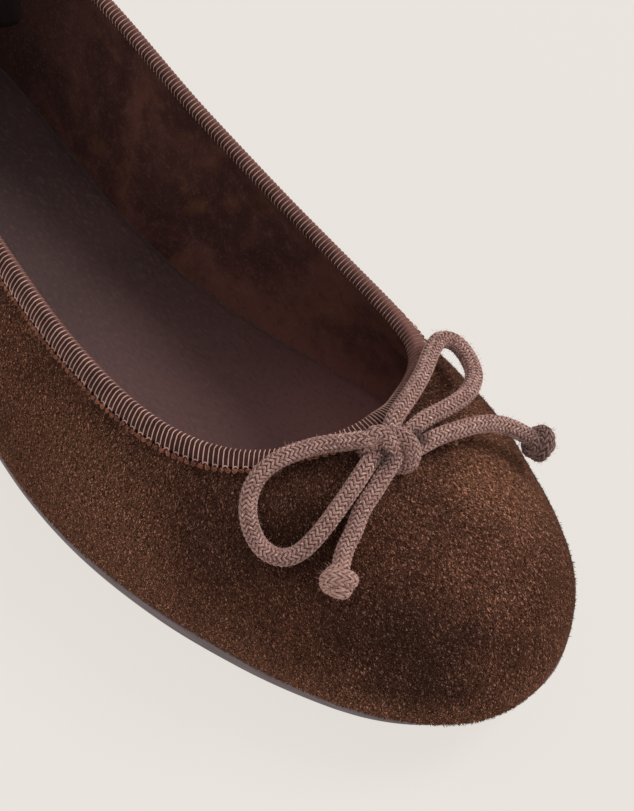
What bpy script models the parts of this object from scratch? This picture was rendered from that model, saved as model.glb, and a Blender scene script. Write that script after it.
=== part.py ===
"""A ballet flat for the right foot: suede upper, bound topline, thin sole, low heel and a tied cord bow.

The toe points along -Y, the outer (lateral) side lies at -X, and the sole stands on z = 0.
Every form is worked out from the last: a ring of stations round the shoe, each with its place on the
feather line (where the upper turns under onto the sole) and its place on the topline.
"""
import math

import bpy
import numpy as np

# Last, in metres
LENGTH = 0.2435  # last's edge, heel back to toe tip
BALL_HALF = 0.0395  # half the width of the last's edge at the ball
BACK_HEIGHT = 0.0555  # topline above the sole at the heel's back
HEEL_HEIGHT = 0.009
TOE_SPRING = 0.0112

# Sole and heel
SOLE_THICK = 0.0033
SOLE_MARGIN = 0.0012  # sole's edge beyond the last's
SOLE_ROUND = 0.0005
HEEL_REACH = 0.056  # heel's breast from the heel's back
HEEL_SET_IN = 0.0005
HEEL_TAPER = 0.0012

# Upper and insole
WALL = 0.0018
LASTING_MARGIN = 0.008  # upper turned in under the insole
INSOLE_THICK = 0.0026
INSOLE_ROUND = 0.0005

# Topline binding, a folded grosgrain ribbon
BINDING_DEPTH = 0.0043  # down the outside
BINDING_INSIDE = 0.0016
BINDING_THICK = 0.0005
BINDING_CROWN = 0.0010  # rounded top above the upper's rim

# Bow cord
CORD_THICK = 0.0038
END_KNOT_LONG = 0.0060
END_KNOT_HALF = 0.0040

GAP = 0.0003  # between pieces that touch
RING_STEPS = 96  # samples round the shoe
SKIN_STEPS = 11  # samples up the upper's wall
CORD_STEP = 0.0038  # samples along a cord
KNOT_SIDES = 14

# Stations from the heel's back round to the toe tip, the same list on both sides.
# along and top_along are shares of LENGTH. top_height, low_up and high_drop are shares of BACK_HEIGHT.
# The others are shares of BALL_HALF. The wall leaves the last's edge towards (low_out, low_up) and meets the
# topline from (high_out, high_drop), and its foot swells past that edge by swell_lateral or swell_medial.
STATION_COLUMNS = (
    "along", "lateral", "medial", "top_along", "top_lateral", "top_medial", "top_height",
    "low_out", "low_up", "high_out", "high_drop", "swell_lateral", "swell_medial",
)
STATION_SHARES = {
    "heel_back": (0.000, 0.0, 0.0, 0.016, 0.0, 0.0, 1.00, 0.114, 0.324, 0.139, 0.324, 0.020, 0.020),
    "heel_corner": (0.022, 0.36, 0.36, 0.032, 0.29, 0.29, 0.99, 0.114, 0.324, 0.127, 0.324, 0.020, 0.020),
    "heel_round": (0.080, 0.62, 0.59, 0.082, 0.51, 0.51, 0.96, 0.114, 0.315, 0.114, 0.306, 0.020, 0.020),
    "heel_side": (0.170, 0.71, 0.66, 0.160, 0.615, 0.649, 0.905, 0.109, 0.288, 0.101, 0.270, 0.020, 0.020),
    "waist_back": (0.320, 0.760, 0.575, 0.297, 0.69, 0.748, 0.827, 0.101, 0.261, 0.085, 0.225, 0.020, 0.020),
    "waist": (0.450, 0.873, 0.55, 0.427, 0.764, 0.763, 0.764, 0.101, 0.243, 0.083, 0.216, 0.032, 0.020),
    "ball_back": (0.570, 1.003, 0.705, 0.550, 0.835, 0.785, 0.729, 0.101, 0.238, 0.116, 0.202, 0.048, 0.020),
    "ball": (0.680, 1.008, 0.896, 0.665, 0.804, 0.756, 0.717, 0.101, 0.244, 0.200, 0.169, 0.040, 0.020),
    "toe_root": (0.785, 0.883, 0.96, 0.733, 0.611, 0.660, 0.735, 0.096, 0.261, 0.311, 0.137, 0.030, 0.020),
    "toe_side": (0.880, 0.708, 0.882, 0.758, 0.374, 0.488, 0.747, 0.096, 0.280, 0.483, 0.092, 0.048, 0.025),
    "toe_round": (0.950, 0.493, 0.684, 0.772, 0.196, 0.286, 0.773, 0.101, 0.298, 0.596, 0.081, 0.068, 0.030),
    "toe_corner": (0.987, 0.221, 0.426, 0.779, 0.055, 0.165, 0.790, 0.104, 0.308, 0.677, 0.076, 0.094, 0.020),
    "toe_tip": (1.000, -0.108, 0.108, 0.780, -0.060, 0.060, 0.797, 0.104, 0.312, 0.705, 0.074, 0.050, 0.050),
}
# Sole's underside above the floor, as shares of HEEL_HEIGHT and TOE_SPRING
LIFT_SHARES = (
    # along, heel, toe
    (0.00, 1.00, 0.00),
    (0.20, 1.00, 0.00),
    (0.32, 0.80, 0.00),
    (0.45, 0.38, 0.00),
    (0.58, 0.04, 0.00),
    (0.66, 0.00, 0.00),
    (0.74, 0.00, 0.00),
    (0.82, 0.00, 0.12),
    (0.90, 0.00, 0.42),
    (1.00, 0.00, 1.00),
)

# Bow, in millimetres from the topline's front centre: towards the medial side, towards the heel, up
ROUTES = {
    "bow_loop_lateral": (
        (-8.4, -5.3, 4.0), (-10.3, -3.5, 3.1), (-14.0, -0.5, 1.8), (-18.4, 1.9, 0.7), (-23.5, 3.6, -0.8),
        (-28.2, 3.8, -3.6), (-31.4, 1.8, -6.9), (-33.1, -1.9, -10.0), (-33.2, -6.3, -11.7),
        (-31.2, -10.3, -11.0), (-27.4, -12.0, -7.9), (-22.5, -11.7, -4.4), (-17.0, -10.6, -1.3),
        (-12.3, -9.4, 1.0), (-9.2, -8.3, 2.3),
    ),
    "bow_end_lateral": (
        (-7.1, -11.7, 2.2), (-9.5, -12.4, 0.7), (-12.6, -13.3, -1.0), (-16.3, -14.3, -2.9),
        (-20.2, -16.3, -5.2), (-23.4, -17.7, -6.9), (-26.3, -19.9, -8.4),
    ),
    "bow_loop_medial": (
        (-1.1, -5.5, 3.5), (4.4, -3.2, 3.5), (10.7, -0.8, 2.9), (17.1, 2.4, 1.9), (22.3, 5.2, 0.9),
        (25.9, 5.9, 0.1), (28.1, 4.2, -0.9), (28.1, 0.6, -1.5), (25.7, -3.7, -1.1), (21.1, -6.9, 0.3),
        (15.7, -8.2, 1.6), (9.2, -8.3, 2.6), (2.2, -8.5, 3.1),
    ),
    "bow_end_medial": (
        (-0.9, -11.9, 2.0), (5.1, -12.1, 1.5), (10.0, -13.0, 1.1), (15.2, -14.2, 0.3), (19.2, -15.5, -0.9),
        (22.9, -17.7, -2.7), (26.8, -21.0, -5.8),
    ),
}
# Lumps of the bow's knot, in the same frame: centre, then half sizes across, along and up
KNOT_LUMPS = (
    ((-6.5, -7.2, 4.6), (3.5, 2.9, 2.9)),
    ((-3.6, -11.3, 3.8), (3.1, 3.1, 2.9)),
    ((-4.6, -9.2, 1.5), (3.6, 3.6, 3.1)),
)
# Turned profile of an end knot: place along it and radius, as shares of END_KNOT_LONG and END_KNOT_HALF
END_KNOT_SHARES = (
    (0.00, 0.62), (0.10, 0.86), (0.25, 1.00), (0.40, 0.98), (0.52, 0.94), (0.66, 1.00),
    (0.82, 0.90), (0.94, 0.62), (1.00, 0.28),
)

COLOURS = {
    "suede": ((0.075, 0.040, 0.024), 0.95),
    "grosgrain": ((0.165, 0.100, 0.082), 0.85),
    "cotton_cord": ((0.230, 0.145, 0.125), 0.90),
    "insole_leather": ((0.070, 0.042, 0.042), 0.60),
    "sole_rubber": ((0.095, 0.070, 0.070), 0.55),
    "heel_rubber": ((0.080, 0.060, 0.060), 0.60),
}


def clear_scene():
    for thing in list(bpy.data.objects):
        bpy.data.objects.remove(thing, do_unlink=True)


def make_material(name):
    colour, roughness = COLOURS[name]
    material = bpy.data.materials.new(name)
    material.use_nodes = True
    surface = material.node_tree.nodes["Principled BSDF"]
    surface.inputs["Base Color"].default_value = (*colour, 1.0)
    surface.inputs["Roughness"].default_value = roughness
    surface.inputs["Metallic"].default_value = 0.0
    return material


def add_mesh(name, points, faces, material):
    mesh = bpy.data.meshes.new(name)
    mesh.from_pydata([tuple(point) for point in points], [], faces)
    mesh.materials.append(material)
    mesh.shade_smooth()
    mesh.set_sharp_from_angle(angle=math.radians(40))
    piece = bpy.data.objects.new(name, mesh)
    bpy.context.collection.objects.link(piece)
    return piece


def closed_slopes(knots, rows):
    """Slopes of the periodic cubic spline through rows at knots, which run from 0 to under 1."""
    count = len(knots)
    gaps = np.diff(np.append(knots, knots[0] + 1.0))
    steps = (np.roll(rows, -1, axis=0) - rows) / gaps[:, None]
    matrix = np.zeros((count, count))
    right = np.zeros_like(rows)
    for i in range(count):
        before, after = gaps[i - 1], gaps[i]
        matrix[i, i - 1] += after
        matrix[i, i] += 2 * (before + after)
        matrix[i, (i + 1) % count] += before
        right[i] = 3 * (after * steps[i - 1] + before * steps[i])
    return np.linalg.solve(matrix, right)


def open_slopes(knots, rows):
    """Slopes of the natural cubic spline through rows at rising knots."""
    count = len(knots)
    gaps = np.diff(knots)
    steps = np.diff(rows, axis=0) / gaps[:, None]
    matrix = np.zeros((count, count))
    right = np.zeros_like(rows)
    matrix[0, :2] = 2, 1
    matrix[-1, -2:] = 1, 2
    right[0], right[-1] = 3 * steps[0], 3 * steps[-1]
    for i in range(1, count - 1):
        before, after = gaps[i - 1], gaps[i]
        matrix[i, i - 1:i + 2] = after, 2 * (before + after), before
        right[i] = 3 * (after * steps[i - 1] + before * steps[i])
    return np.linalg.solve(matrix, right)


def between(start, start_slope, end, end_slope, gap, share):
    """Cubic from start to end across gap, at share of the way."""
    return (
        (2 * share ** 3 - 3 * share ** 2 + 1) * start
        + (share ** 3 - 2 * share ** 2 + share) * gap * start_slope
        + (3 * share ** 2 - 2 * share ** 3) * end
        + (share ** 3 - share ** 2) * gap * end_slope
    )


def sole_lift(along):
    """Height of the sole's underside above the floor, at places along the last."""
    table = np.array(LIFT_SHARES)
    places = table[:, 0] * LENGTH
    lifts = table[:, 1] * HEEL_HEIGHT + table[:, 2] * TOE_SPRING
    steps = np.diff(lifts) / np.diff(places)
    slopes = np.concatenate([steps[:1], np.zeros(len(lifts) - 2), steps[-1:]])
    for i in range(1, len(lifts) - 1):
        if steps[i - 1] * steps[i] > 0:
            slopes[i] = 2 * steps[i - 1] * steps[i] / (steps[i - 1] + steps[i])
    along = np.asarray(along, float)
    held = np.clip(along, places[0], places[-1])
    i = np.clip(np.searchsorted(places, held, side="right") - 1, 0, len(places) - 2)
    gap = places[i + 1] - places[i]
    share = (held - places[i]) / gap
    lift = between(lifts[i], slopes[i], lifts[i + 1], slopes[i + 1], gap, share)
    return lift + np.maximum(along - places[-1], 0) * slopes[-1]


def unit(vectors):
    return vectors / np.linalg.norm(vectors, axis=-1, keepdims=True)


class Last:
    """The upper's outer surface. A point is (across, along, up); turn runs from 0 at the heel's back,
    by the lateral side, to 0.5 at the toe and back by the medial side; rise runs from 0 to 1."""

    def __init__(self):
        names = list(STATION_SHARES)
        half = len(names) - 1
        lateral = [self.read_station(name, -1) for name in names]
        medial = [self.read_station(name, 1) for name in names]
        tip = lateral[-1].copy()
        tip[0], tip[2] = medial[-1][0], medial[-1][2]
        self.rows = np.array(lateral[:-1] + [tip] + medial[-2:0:-1])
        widths = np.array([(medial[i][0] - lateral[i][0]) / 2 for i in range(half)] + [0.0])
        places = np.array([row[1] for row in lateral])
        chords = np.hypot(np.diff(widths), np.diff(places))
        turns = np.concatenate([[0], np.cumsum(chords)]) / chords.sum() / 2
        self.knots = np.concatenate([turns, 1 - turns[-2:0:-1]])
        self.slopes = closed_slopes(self.knots, self.rows)

    @staticmethod
    def read_station(name, side):
        at = dict(zip(STATION_COLUMNS, STATION_SHARES[name]))
        near = "medial" if side > 0 else "lateral"
        across, top_across = side * at[near], side * at[f"top_{near}"]
        return np.array([
            across * BALL_HALF, at["along"] * LENGTH, top_across * BALL_HALF, at["top_along"] * LENGTH,
            at["top_height"] * BACK_HEIGHT, at["low_out"] * BALL_HALF, at["low_up"] * BACK_HEIGHT,
            at["high_out"] * BALL_HALF, at["high_drop"] * BACK_HEIGHT, at[f"swell_{near}"] * BALL_HALF,
        ])

    def ring(self, turns):
        turns = np.mod(turns, 1.0)
        i = np.searchsorted(self.knots, turns, side="right") - 1
        j = (i + 1) % len(self.knots)
        ends = np.append(self.knots, 1.0)
        gap = (ends[i + 1] - ends[i])[:, None]
        share = (turns - ends[i])[:, None] / gap
        return between(self.rows[i], self.slopes[i], self.rows[j], self.slopes[j], gap, share)

    def outward(self, turns):
        """Level direction out of the shoe, square to the last's edge."""
        step = 1e-4
        way = (self.ring(turns + step) - self.ring(turns - step))[:, :2]
        return unit(np.stack([-way[:, 1], way[:, 0], np.zeros(len(way))], axis=1))

    def edge(self, turns):
        """Points of the last's own edge, just above the sole."""
        row = self.ring(turns)
        return np.stack([row[:, 0], row[:, 1], sole_top(row[:, 1]) + GAP], axis=1)

    def skin(self, turns, rises):
        """Grid of points on the outer surface, shaped turns by rises by 3."""
        turns = np.asarray(turns, float)
        row = self.ring(turns)
        out = self.outward(turns)
        up = np.array([0.0, 0.0, 1.0])
        edge = self.edge(turns)
        feather = edge + out * row[:, 9:10]
        feather = at_height(feather, sole_top(feather[:, 1]) + GAP)
        topline = np.stack([row[:, 2], row[:, 3], sole_top(row[:, 3]) + GAP + row[:, 4]], axis=1)
        low = edge + out * row[:, 5:6] + up * row[:, 6:7]
        high = topline + out * row[:, 7:8] - up * row[:, 8:9]
        rise = np.asarray(rises, float)
        rise = (rise if rise.ndim == 2 else rise[None])[..., None]
        return (
            (1 - rise) ** 3 * feather[:, None]
            + 3 * (1 - rise) ** 2 * rise * low[:, None]
            + 3 * (1 - rise) * rise ** 2 * high[:, None]
            + rise ** 3 * topline[:, None]
        )

    def normals(self, turns, rises):
        step = 1e-3
        rises = np.asarray(rises, float)
        around = self.skin(turns + step, rises) - self.skin(turns - step, rises)
        upward = self.skin(turns, rises + step) - self.skin(turns, rises - step)
        return unit(np.cross(upward, around))

    def rises_below_rim(self, turns, depths):
        """Rises at depths below the topline, measured down the wall, shaped turns by depths."""
        rises = np.linspace(1.0, 0.4, 61)
        wall = self.skin(turns, rises)
        fallen = np.cumsum(np.linalg.norm(np.diff(wall, axis=1), axis=2), axis=1)
        fallen = np.concatenate([np.zeros((len(turns), 1)), fallen], axis=1)
        return np.array([np.interp(depths, way, rises) for way in fallen])


def sole_top(along):
    return sole_lift(along) + SOLE_THICK


def find_centre(last):
    """Middle of the shoe's own outline, seen from above."""
    turns = np.arange(RING_STEPS) / RING_STEPS
    skin = last.skin(turns, np.linspace(0, 1, SKIN_STEPS)).reshape(-1, 3)
    sole = sole_outline(last, turns, 0.0)
    points = np.concatenate([skin[:, :2], sole[:, :2]])
    return (points.min(axis=0) + points.max(axis=0)) / 2


def sole_outline(last, turns, set_in):
    return last.edge(turns) + last.outward(turns) * (SOLE_MARGIN - set_in)


def place(points, centre):
    """From the last's (across, along, up) to the shoe's frame, toe towards -Y."""
    points = np.asarray(points, float)
    return np.stack([points[..., 0] - centre[0], centre[1] - points[..., 1], points[..., 2]], axis=-1)


def at_height(points, heights):
    raised = points.copy()
    raised[:, 2] = heights
    return raised


def join_rings(rings, closed):
    """Faces of a solid from rings of points. Closed rings wrap round like a hollow wall; otherwise the
    first and last ring are capped by rungs from the lateral to the medial side."""
    count = len(rings[0])
    faces = []
    pairs = [(k, (k + 1) % len(rings)) for k in range(len(rings) if closed else len(rings) - 1)]
    for low, high in pairs:
        for i in range(count):
            j = (i + 1) % count
            faces.append((low * count + i, low * count + j, high * count + j, high * count + i))
    if not closed:
        last_ring = (len(rings) - 1) * count
        faces += [tuple(last_ring + k for k in rung) for rung in rungs(count)]
        faces += [tuple(reversed(rung)) for rung in rungs(count)]
    return np.concatenate(rings), faces


def rungs(count):
    half = count // 2
    yield (0, 1, count - 1)
    for i in range(1, half - 1):
        yield (i, i + 1, count - i - 1, count - i)
    yield (half - 1, half, half + 1)


def make_outsole(last, turns, centre, material):
    rings = []
    for share, set_in in ((0, SOLE_ROUND), (0, 0), (1, 0), (1, SOLE_ROUND)):
        ring = sole_outline(last, turns, set_in)
        corner = 0 if set_in else SOLE_ROUND
        height = sole_lift(ring[:, 1]) + (SOLE_THICK - corner if share else corner)
        rings.append(at_height(ring, height))
    points, faces = join_rings(rings, closed=False)
    return add_mesh("outsole", place(points, centre), faces, material)


def make_heel(last, centre, material):
    """A low block under the seat of the sole, its breast cut straight across."""
    places = last.ring(np.linspace(0, 0.5, 401))[:, 1]
    breast_turn = float(np.interp(HEEL_REACH, places, np.linspace(0, 0.5, 401)))
    steps = 15
    side = np.linspace(0, breast_turn, steps)
    turns = np.concatenate([side, 1 - side[:0:-1]])
    rings = []
    for share in (0.0, 1.0):
        ring = sole_outline(last, turns, HEEL_SET_IN + HEEL_TAPER * (1 - share))
        top = sole_lift(ring[:, 1]) - GAP
        rings.append(at_height(ring, top * share))
    count = len(turns)
    points = np.concatenate(rings)
    faces = [(i, (i + 1) % count, count + (i + 1) % count, count + i) for i in range(count)]
    rung_list = [(0, 1, count - 1)] + [(i, i + 1, count - i - 1, count - i) for i in range(1, steps - 1)]
    faces += [tuple(count + k for k in rung) for rung in rung_list]
    faces += [tuple(reversed(rung)) for rung in rung_list]
    return add_mesh("heel", place(points, centre), faces, material)


def inner_wall(last, turns, rises, extra=0.0):
    return last.skin(turns, rises) - last.normals(turns, rises) * (WALL + extra)


def wall_at_height(last, turns, height, extra=0.0):
    """Ring on the inner wall at a height above the feather line, set in by extra."""
    rises = np.linspace(0.0, 0.35, 71)
    wall = inner_wall(last, turns, rises, extra)
    above = wall[:, :, 2] - sole_top(wall[:, :, 1]) - GAP
    ring = np.empty((len(turns), 3))
    for i in range(len(turns)):
        for axis in range(3):
            ring[i, axis] = np.interp(height, above[i], wall[i, :, axis])
    return ring


def turned_in(last, turns, ring, reach):
    return ring - last.outward(turns) * reach


def make_upper(last, turns, centre, material):
    """A hollow wall, open at the collar, with its lasting margin turned in underneath."""
    rises = np.linspace(0, 1, SKIN_STEPS)
    outer = last.skin(turns, rises)
    corner = wall_at_height(last, turns, WALL)
    inner = inner_wall(last, turns, rises)
    feather = outer[:, 0]
    margin = turned_in(last, turns, feather, LASTING_MARGIN)
    margin_low = at_height(margin, sole_top(margin[:, 1]) + GAP)
    rings = [outer[:, k] for k in range(SKIN_STEPS)]
    rings += [inner[:, k] for k in range(SKIN_STEPS - 1, 0, -1)]
    rings += [corner, at_height(margin, margin_low[:, 2] + WALL), margin_low]
    points, faces = join_rings(rings, closed=True)
    return add_mesh("upper", place(points, centre), faces, material)


def make_insole(last, turns, centre, material):
    """The footbed: it lies on the lasting margin, and its filler reaches down to the sole between."""
    floor = WALL + GAP
    border = wall_at_height(last, turns, floor, GAP)
    side = wall_at_height(last, turns, floor + INSOLE_THICK - INSOLE_ROUND, GAP)
    top = turned_in(last, turns, wall_at_height(last, turns, floor + INSOLE_THICK, GAP), INSOLE_ROUND)
    filler = turned_in(last, turns, last.skin(turns, [0.0])[:, 0], LASTING_MARGIN + GAP)
    filler_low = at_height(filler, sole_top(filler[:, 1]) + GAP)
    rings = [
        filler_low,
        at_height(filler, filler_low[:, 2] + floor),
        at_height(border, sole_top(border[:, 1]) + GAP + floor),
        side,
        at_height(top, sole_top(top[:, 1]) + GAP + floor + INSOLE_THICK),
    ]
    points, faces = join_rings(rings, closed=False)
    return add_mesh("insole", place(points, centre), faces, material)


def make_binding(last, turns, centre, material):
    """Ribbon folded over the topline, as a channel that straddles the upper's wall."""
    shares = np.array([1.0, 0.5, 0.0])
    rises = last.rises_below_rim(turns, BINDING_DEPTH * shares)
    wall, out = last.skin(turns, rises), last.normals(turns, rises)
    rises = last.rises_below_rim(turns, BINDING_INSIDE * shares)
    lining, lining_out = last.skin(turns, rises), last.normals(turns, rises)
    rim = wall[:, 2]
    rim_out = out[:, 2]
    upward = unit(rim - wall[:, 1])
    outer_leg = GAP + BINDING_THICK
    inner_leg = WALL + outer_leg
    rings = [wall[:, k] + out[:, k] * outer_leg for k in range(3)]
    middle = rim - rim_out * WALL / 2
    half = WALL / 2 + outer_leg
    for degrees in (30, 60, 90, 120, 150):
        angle = math.radians(degrees)
        rings.append(middle + rim_out * half * math.cos(angle) + upward * BINDING_CROWN * math.sin(angle))
    rings += [lining[:, k] - lining_out[:, k] * inner_leg for k in (2, 1, 0)]
    rings += [lining[:, k] - lining_out[:, k] * (WALL + GAP) for k in (0, 1)]
    rings += [
        rim - rim_out * (WALL + GAP) + upward * GAP,
        rim + rim_out * GAP + upward * GAP,
    ]
    rings += [wall[:, k] + out[:, k] * GAP for k in (1, 0)]
    points, faces = join_rings(rings, closed=True)
    return add_mesh("binding", place(points, centre), faces, material)


def read_route(points, step):
    """Even points along the smooth curve through a route."""
    points = np.asarray(points, float)
    knots = np.concatenate([[0], np.cumsum(np.linalg.norm(np.diff(points, axis=0), axis=1))])
    slopes = open_slopes(knots, points)
    fine = np.linspace(0, knots[-1], 600)
    i = np.clip(np.searchsorted(knots, fine, side="right") - 1, 0, len(knots) - 2)
    gap = (knots[i + 1] - knots[i])[:, None]
    share = (fine - knots[i])[:, None] / gap
    curve = between(points[i], slopes[i], points[i + 1], slopes[i + 1], gap, share)
    run = np.concatenate([[0], np.cumsum(np.linalg.norm(np.diff(curve, axis=0), axis=1))])
    count = max(3, round(run[-1] / step) + 1)
    even = np.linspace(0, run[-1], count)
    return np.stack([np.interp(even, run, curve[:, axis]) for axis in range(3)], axis=1)


def cord_edge(point, way):
    """Points round a cord's cut end, and its middle."""
    across = unit(np.cross(way, (0.3, 0.2, 0.9)))
    beside = np.cross(way, across)
    turns = np.linspace(0, 2 * math.pi, 16, endpoint=False)
    radius = CORD_THICK / 2
    ring = [point + radius * (math.cos(turn) * across + math.sin(turn) * beside) for turn in turns]
    return np.array(ring + [point])


def clear_of_knot(points, lumps):
    for middle, half in lumps:
        if (np.linalg.norm((points - middle) / (half + GAP), axis=1) < 1).any():
            return False
    return True


def trim_to_knot(route, lumps):
    """A route without the stretches at its ends that the knot covers."""
    fine = read_route(route, CORD_THICK / 40)
    ways = unit(np.gradient(fine, axis=0))
    free = [clear_of_knot(cord_edge(point, way), lumps) for point, way in zip(fine, ways)]
    kept = np.flatnonzero(free)
    return fine[kept[0]:kept[-1] + 1]


def make_cord(name, points, material):
    curve = bpy.data.curves.new(name, "CURVE")
    curve.dimensions = "3D"
    curve.bevel_depth = CORD_THICK / 2
    curve.bevel_resolution = 2
    curve.use_fill_caps = True
    spline = curve.splines.new("POLY")
    spline.points.add(len(points) - 1)
    for spot, point in zip(spline.points, points):
        spot.co = (*point, 1.0)
    curve.materials.append(material)
    piece = bpy.data.objects.new(name, curve)
    bpy.context.collection.objects.link(piece)
    return piece


def make_lump(name, middle, half, material):
    """A ball of cord, stretched to its half sizes."""
    points, faces = [], []
    rows = KNOT_SIDES // 2
    points.append(middle + half * (0, 0, -1))
    for row in range(1, rows):
        lift = -math.pi / 2 + math.pi * row / rows
        for side in range(KNOT_SIDES):
            turn = 2 * math.pi * side / KNOT_SIDES
            way = np.array([math.cos(lift) * math.cos(turn), math.cos(lift) * math.sin(turn), math.sin(lift)])
            points.append(middle + half * way)
    points.append(middle + half * (0, 0, 1))
    top = len(points) - 1
    for side in range(KNOT_SIDES):
        after = (side + 1) % KNOT_SIDES
        faces.append((0, 1 + after, 1 + side))
        for row in range(rows - 2):
            low, high = 1 + row * KNOT_SIDES, 1 + (row + 1) * KNOT_SIDES
            faces.append((low + side, low + after, high + after, high + side))
        high = 1 + (rows - 2) * KNOT_SIDES
        faces.append((high + side, high + after, top))
    return add_mesh(name, points, faces, material)


def make_bow_knot(lumps, material):
    """The knot's lumps joined into one solid."""
    knot = make_lump("bow_knot", *lumps[0], material)
    for number, (middle, half) in enumerate(lumps[1:], 1):
        lump = make_lump(f"knot_lump_{number}", middle, half, material)
        lump.hide_render = True
        lump.display_type = "WIRE"
        join = knot.modifiers.new(f"join_{number}", "BOOLEAN")
        join.operation = "UNION"
        join.solver = "EXACT"
        join.object = lump
    return knot


def make_end_knot(name, start, way, material):
    """The overhand knot that closes a cord's end: a turned bead with two soft ridges."""
    across = unit(np.cross(way, (0.0, 0.0, 1.0)))
    beside = np.cross(way, across)
    points = [start]
    faces = []
    for share, width in END_KNOT_SHARES:
        middle = start + way * share * END_KNOT_LONG
        for side in range(KNOT_SIDES):
            turn = 2 * math.pi * side / KNOT_SIDES
            spoke = math.cos(turn) * across + math.sin(turn) * beside
            points.append(middle + spoke * width * END_KNOT_HALF)
    rows = len(END_KNOT_SHARES)
    points.append(start + way * END_KNOT_LONG)
    for side in range(KNOT_SIDES):
        after = (side + 1) % KNOT_SIDES
        faces.append((0, 1 + after, 1 + side))
        for row in range(rows - 1):
            low, high = 1 + row * KNOT_SIDES, 1 + (row + 1) * KNOT_SIDES
            faces.append((low + side, low + after, high + after, high + side))
        high = 1 + (rows - 1) * KNOT_SIDES
        faces.append((high + side, high + after, len(points) - 1))
    return add_mesh(name, points, faces, material)


def make_bow(last, centre, material):
    throat = place(last.skin(np.array([0.5]), [1.0])[0, 0], centre)
    lumps = [
        (throat + np.array(middle) / 1000, np.array(half) / 1000)
        for middle, half in KNOT_LUMPS
    ]
    make_bow_knot(lumps, material)
    for name, route in ROUTES.items():
        points = trim_to_knot(throat + np.array(route) / 1000, lumps)
        if "end" in name:
            way = unit(points[-1] - points[-2])
            points = read_route(points[:: len(points) // 20], CORD_STEP)
            start = points[-1] + way * GAP
            make_end_knot(name.replace("bow_end", "end_knot"), start, way, material)
        else:
            points = read_route(points[:: len(points) // 40], CORD_STEP)
        make_cord(name, points, material)


def main():
    clear_scene()
    materials = {name: make_material(name) for name in COLOURS}
    last = Last()
    turns = np.arange(RING_STEPS) / RING_STEPS
    centre = find_centre(last)
    make_outsole(last, turns, centre, materials["sole_rubber"])
    make_heel(last, centre, materials["heel_rubber"])
    make_insole(last, turns, centre, materials["insole_leather"])
    make_upper(last, turns, centre, materials["suede"])
    make_binding(last, turns, centre, materials["grosgrain"])
    make_bow(last, centre, materials["cotton_cord"])


main()
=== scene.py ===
import math

import bpy
import numpy as np
from mathutils import Matrix, Vector


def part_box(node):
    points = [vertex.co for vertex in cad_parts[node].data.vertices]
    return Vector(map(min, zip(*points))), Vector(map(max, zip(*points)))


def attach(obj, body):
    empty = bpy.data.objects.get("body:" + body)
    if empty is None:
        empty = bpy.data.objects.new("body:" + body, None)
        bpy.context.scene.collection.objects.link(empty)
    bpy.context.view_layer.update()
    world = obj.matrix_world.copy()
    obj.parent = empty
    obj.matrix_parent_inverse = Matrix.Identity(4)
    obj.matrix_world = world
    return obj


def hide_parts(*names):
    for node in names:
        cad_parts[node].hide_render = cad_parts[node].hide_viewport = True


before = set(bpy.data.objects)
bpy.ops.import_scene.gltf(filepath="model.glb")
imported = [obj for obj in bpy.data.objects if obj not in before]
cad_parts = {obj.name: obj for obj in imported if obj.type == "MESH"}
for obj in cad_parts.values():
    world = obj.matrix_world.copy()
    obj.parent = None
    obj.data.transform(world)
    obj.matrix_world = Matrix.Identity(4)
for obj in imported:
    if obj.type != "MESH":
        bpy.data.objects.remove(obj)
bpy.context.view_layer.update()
print("frame loaded")

mm = 0.001


def srgb(red, green, blue):
    # a given screen colour, as the linear colour that the shaders use
    values = []
    for part in (red, green, blue):
        part = part / 255
        values.append(part / 12.92 if part < 0.04045 else ((part + 0.055) / 1.055) ** 2.4)
    return (*values, 1.0)


def backWay(turn, lift):
    # from the target towards an eye or a light, turned from the toe and lifted, in degrees
    turn, lift = math.radians(turn), math.radians(lift)
    return Vector((math.sin(turn) * math.cos(lift), -math.cos(turn) * math.cos(lift), math.sin(lift)))


# Camera
view = {
    "azimuth": -55.0,
    "elevation": 49.8,
    "roll": 15.0,
    "distance": 0.6,
    "lens": 122.34,
    "sensor": 36.0,
    "target": (0.02263, -0.04112, 0.0102),
}


def makeCamera():
    roll = math.radians(view["roll"])
    back = backWay(view["azimuth"], view["elevation"])
    right = (-back).cross(Vector((0, 0, 1))).normalized()
    up = right.cross(-back)
    rolledRight = right * math.cos(roll) + up * math.sin(roll)
    rolledUp = up * math.cos(roll) - right * math.sin(roll)
    lensData = bpy.data.cameras.new("camera")
    lensData.lens = view["lens"]
    lensData.sensor_width = view["sensor"]
    camera = bpy.data.objects.new("camera", lensData)
    eye = Vector(view["target"]) + back * view["distance"]
    pose = Matrix((rolledRight, rolledUp, back)).transposed().to_4x4()
    pose.translation = eye
    camera.matrix_world = pose
    bpy.context.scene.collection.objects.link(camera)
    bpy.context.scene.camera = camera


makeCamera()
print("camera placed")


# Small helpers for meshes
def unit(vectors):
    return vectors / np.linalg.norm(vectors, axis=-1, keepdims=True)


def addPiece(name, points, faces, material=None, smooth=True, edges=()):
    mesh = bpy.data.meshes.new(name)
    mesh.from_pydata(np.asarray(points, float).reshape(-1, 3), list(edges), faces)
    if smooth and len(faces):
        mesh.shade_smooth()
    piece = bpy.data.objects.new(name, mesh)
    bpy.context.scene.collection.objects.link(piece)
    if material is not None:
        mesh.materials.append(material)
    return piece


def ringFaces(ringCount, around, closed):
    # quads between rings of points that go round the shoe, facing out
    faces = []
    for low in range(ringCount if closed else ringCount - 1):
        high = (low + 1) % ringCount
        for i in range(around):
            j = (i + 1) % around
            faces.append((low * around + i, low * around + j, high * around + j, high * around + i))
    return faces


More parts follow.
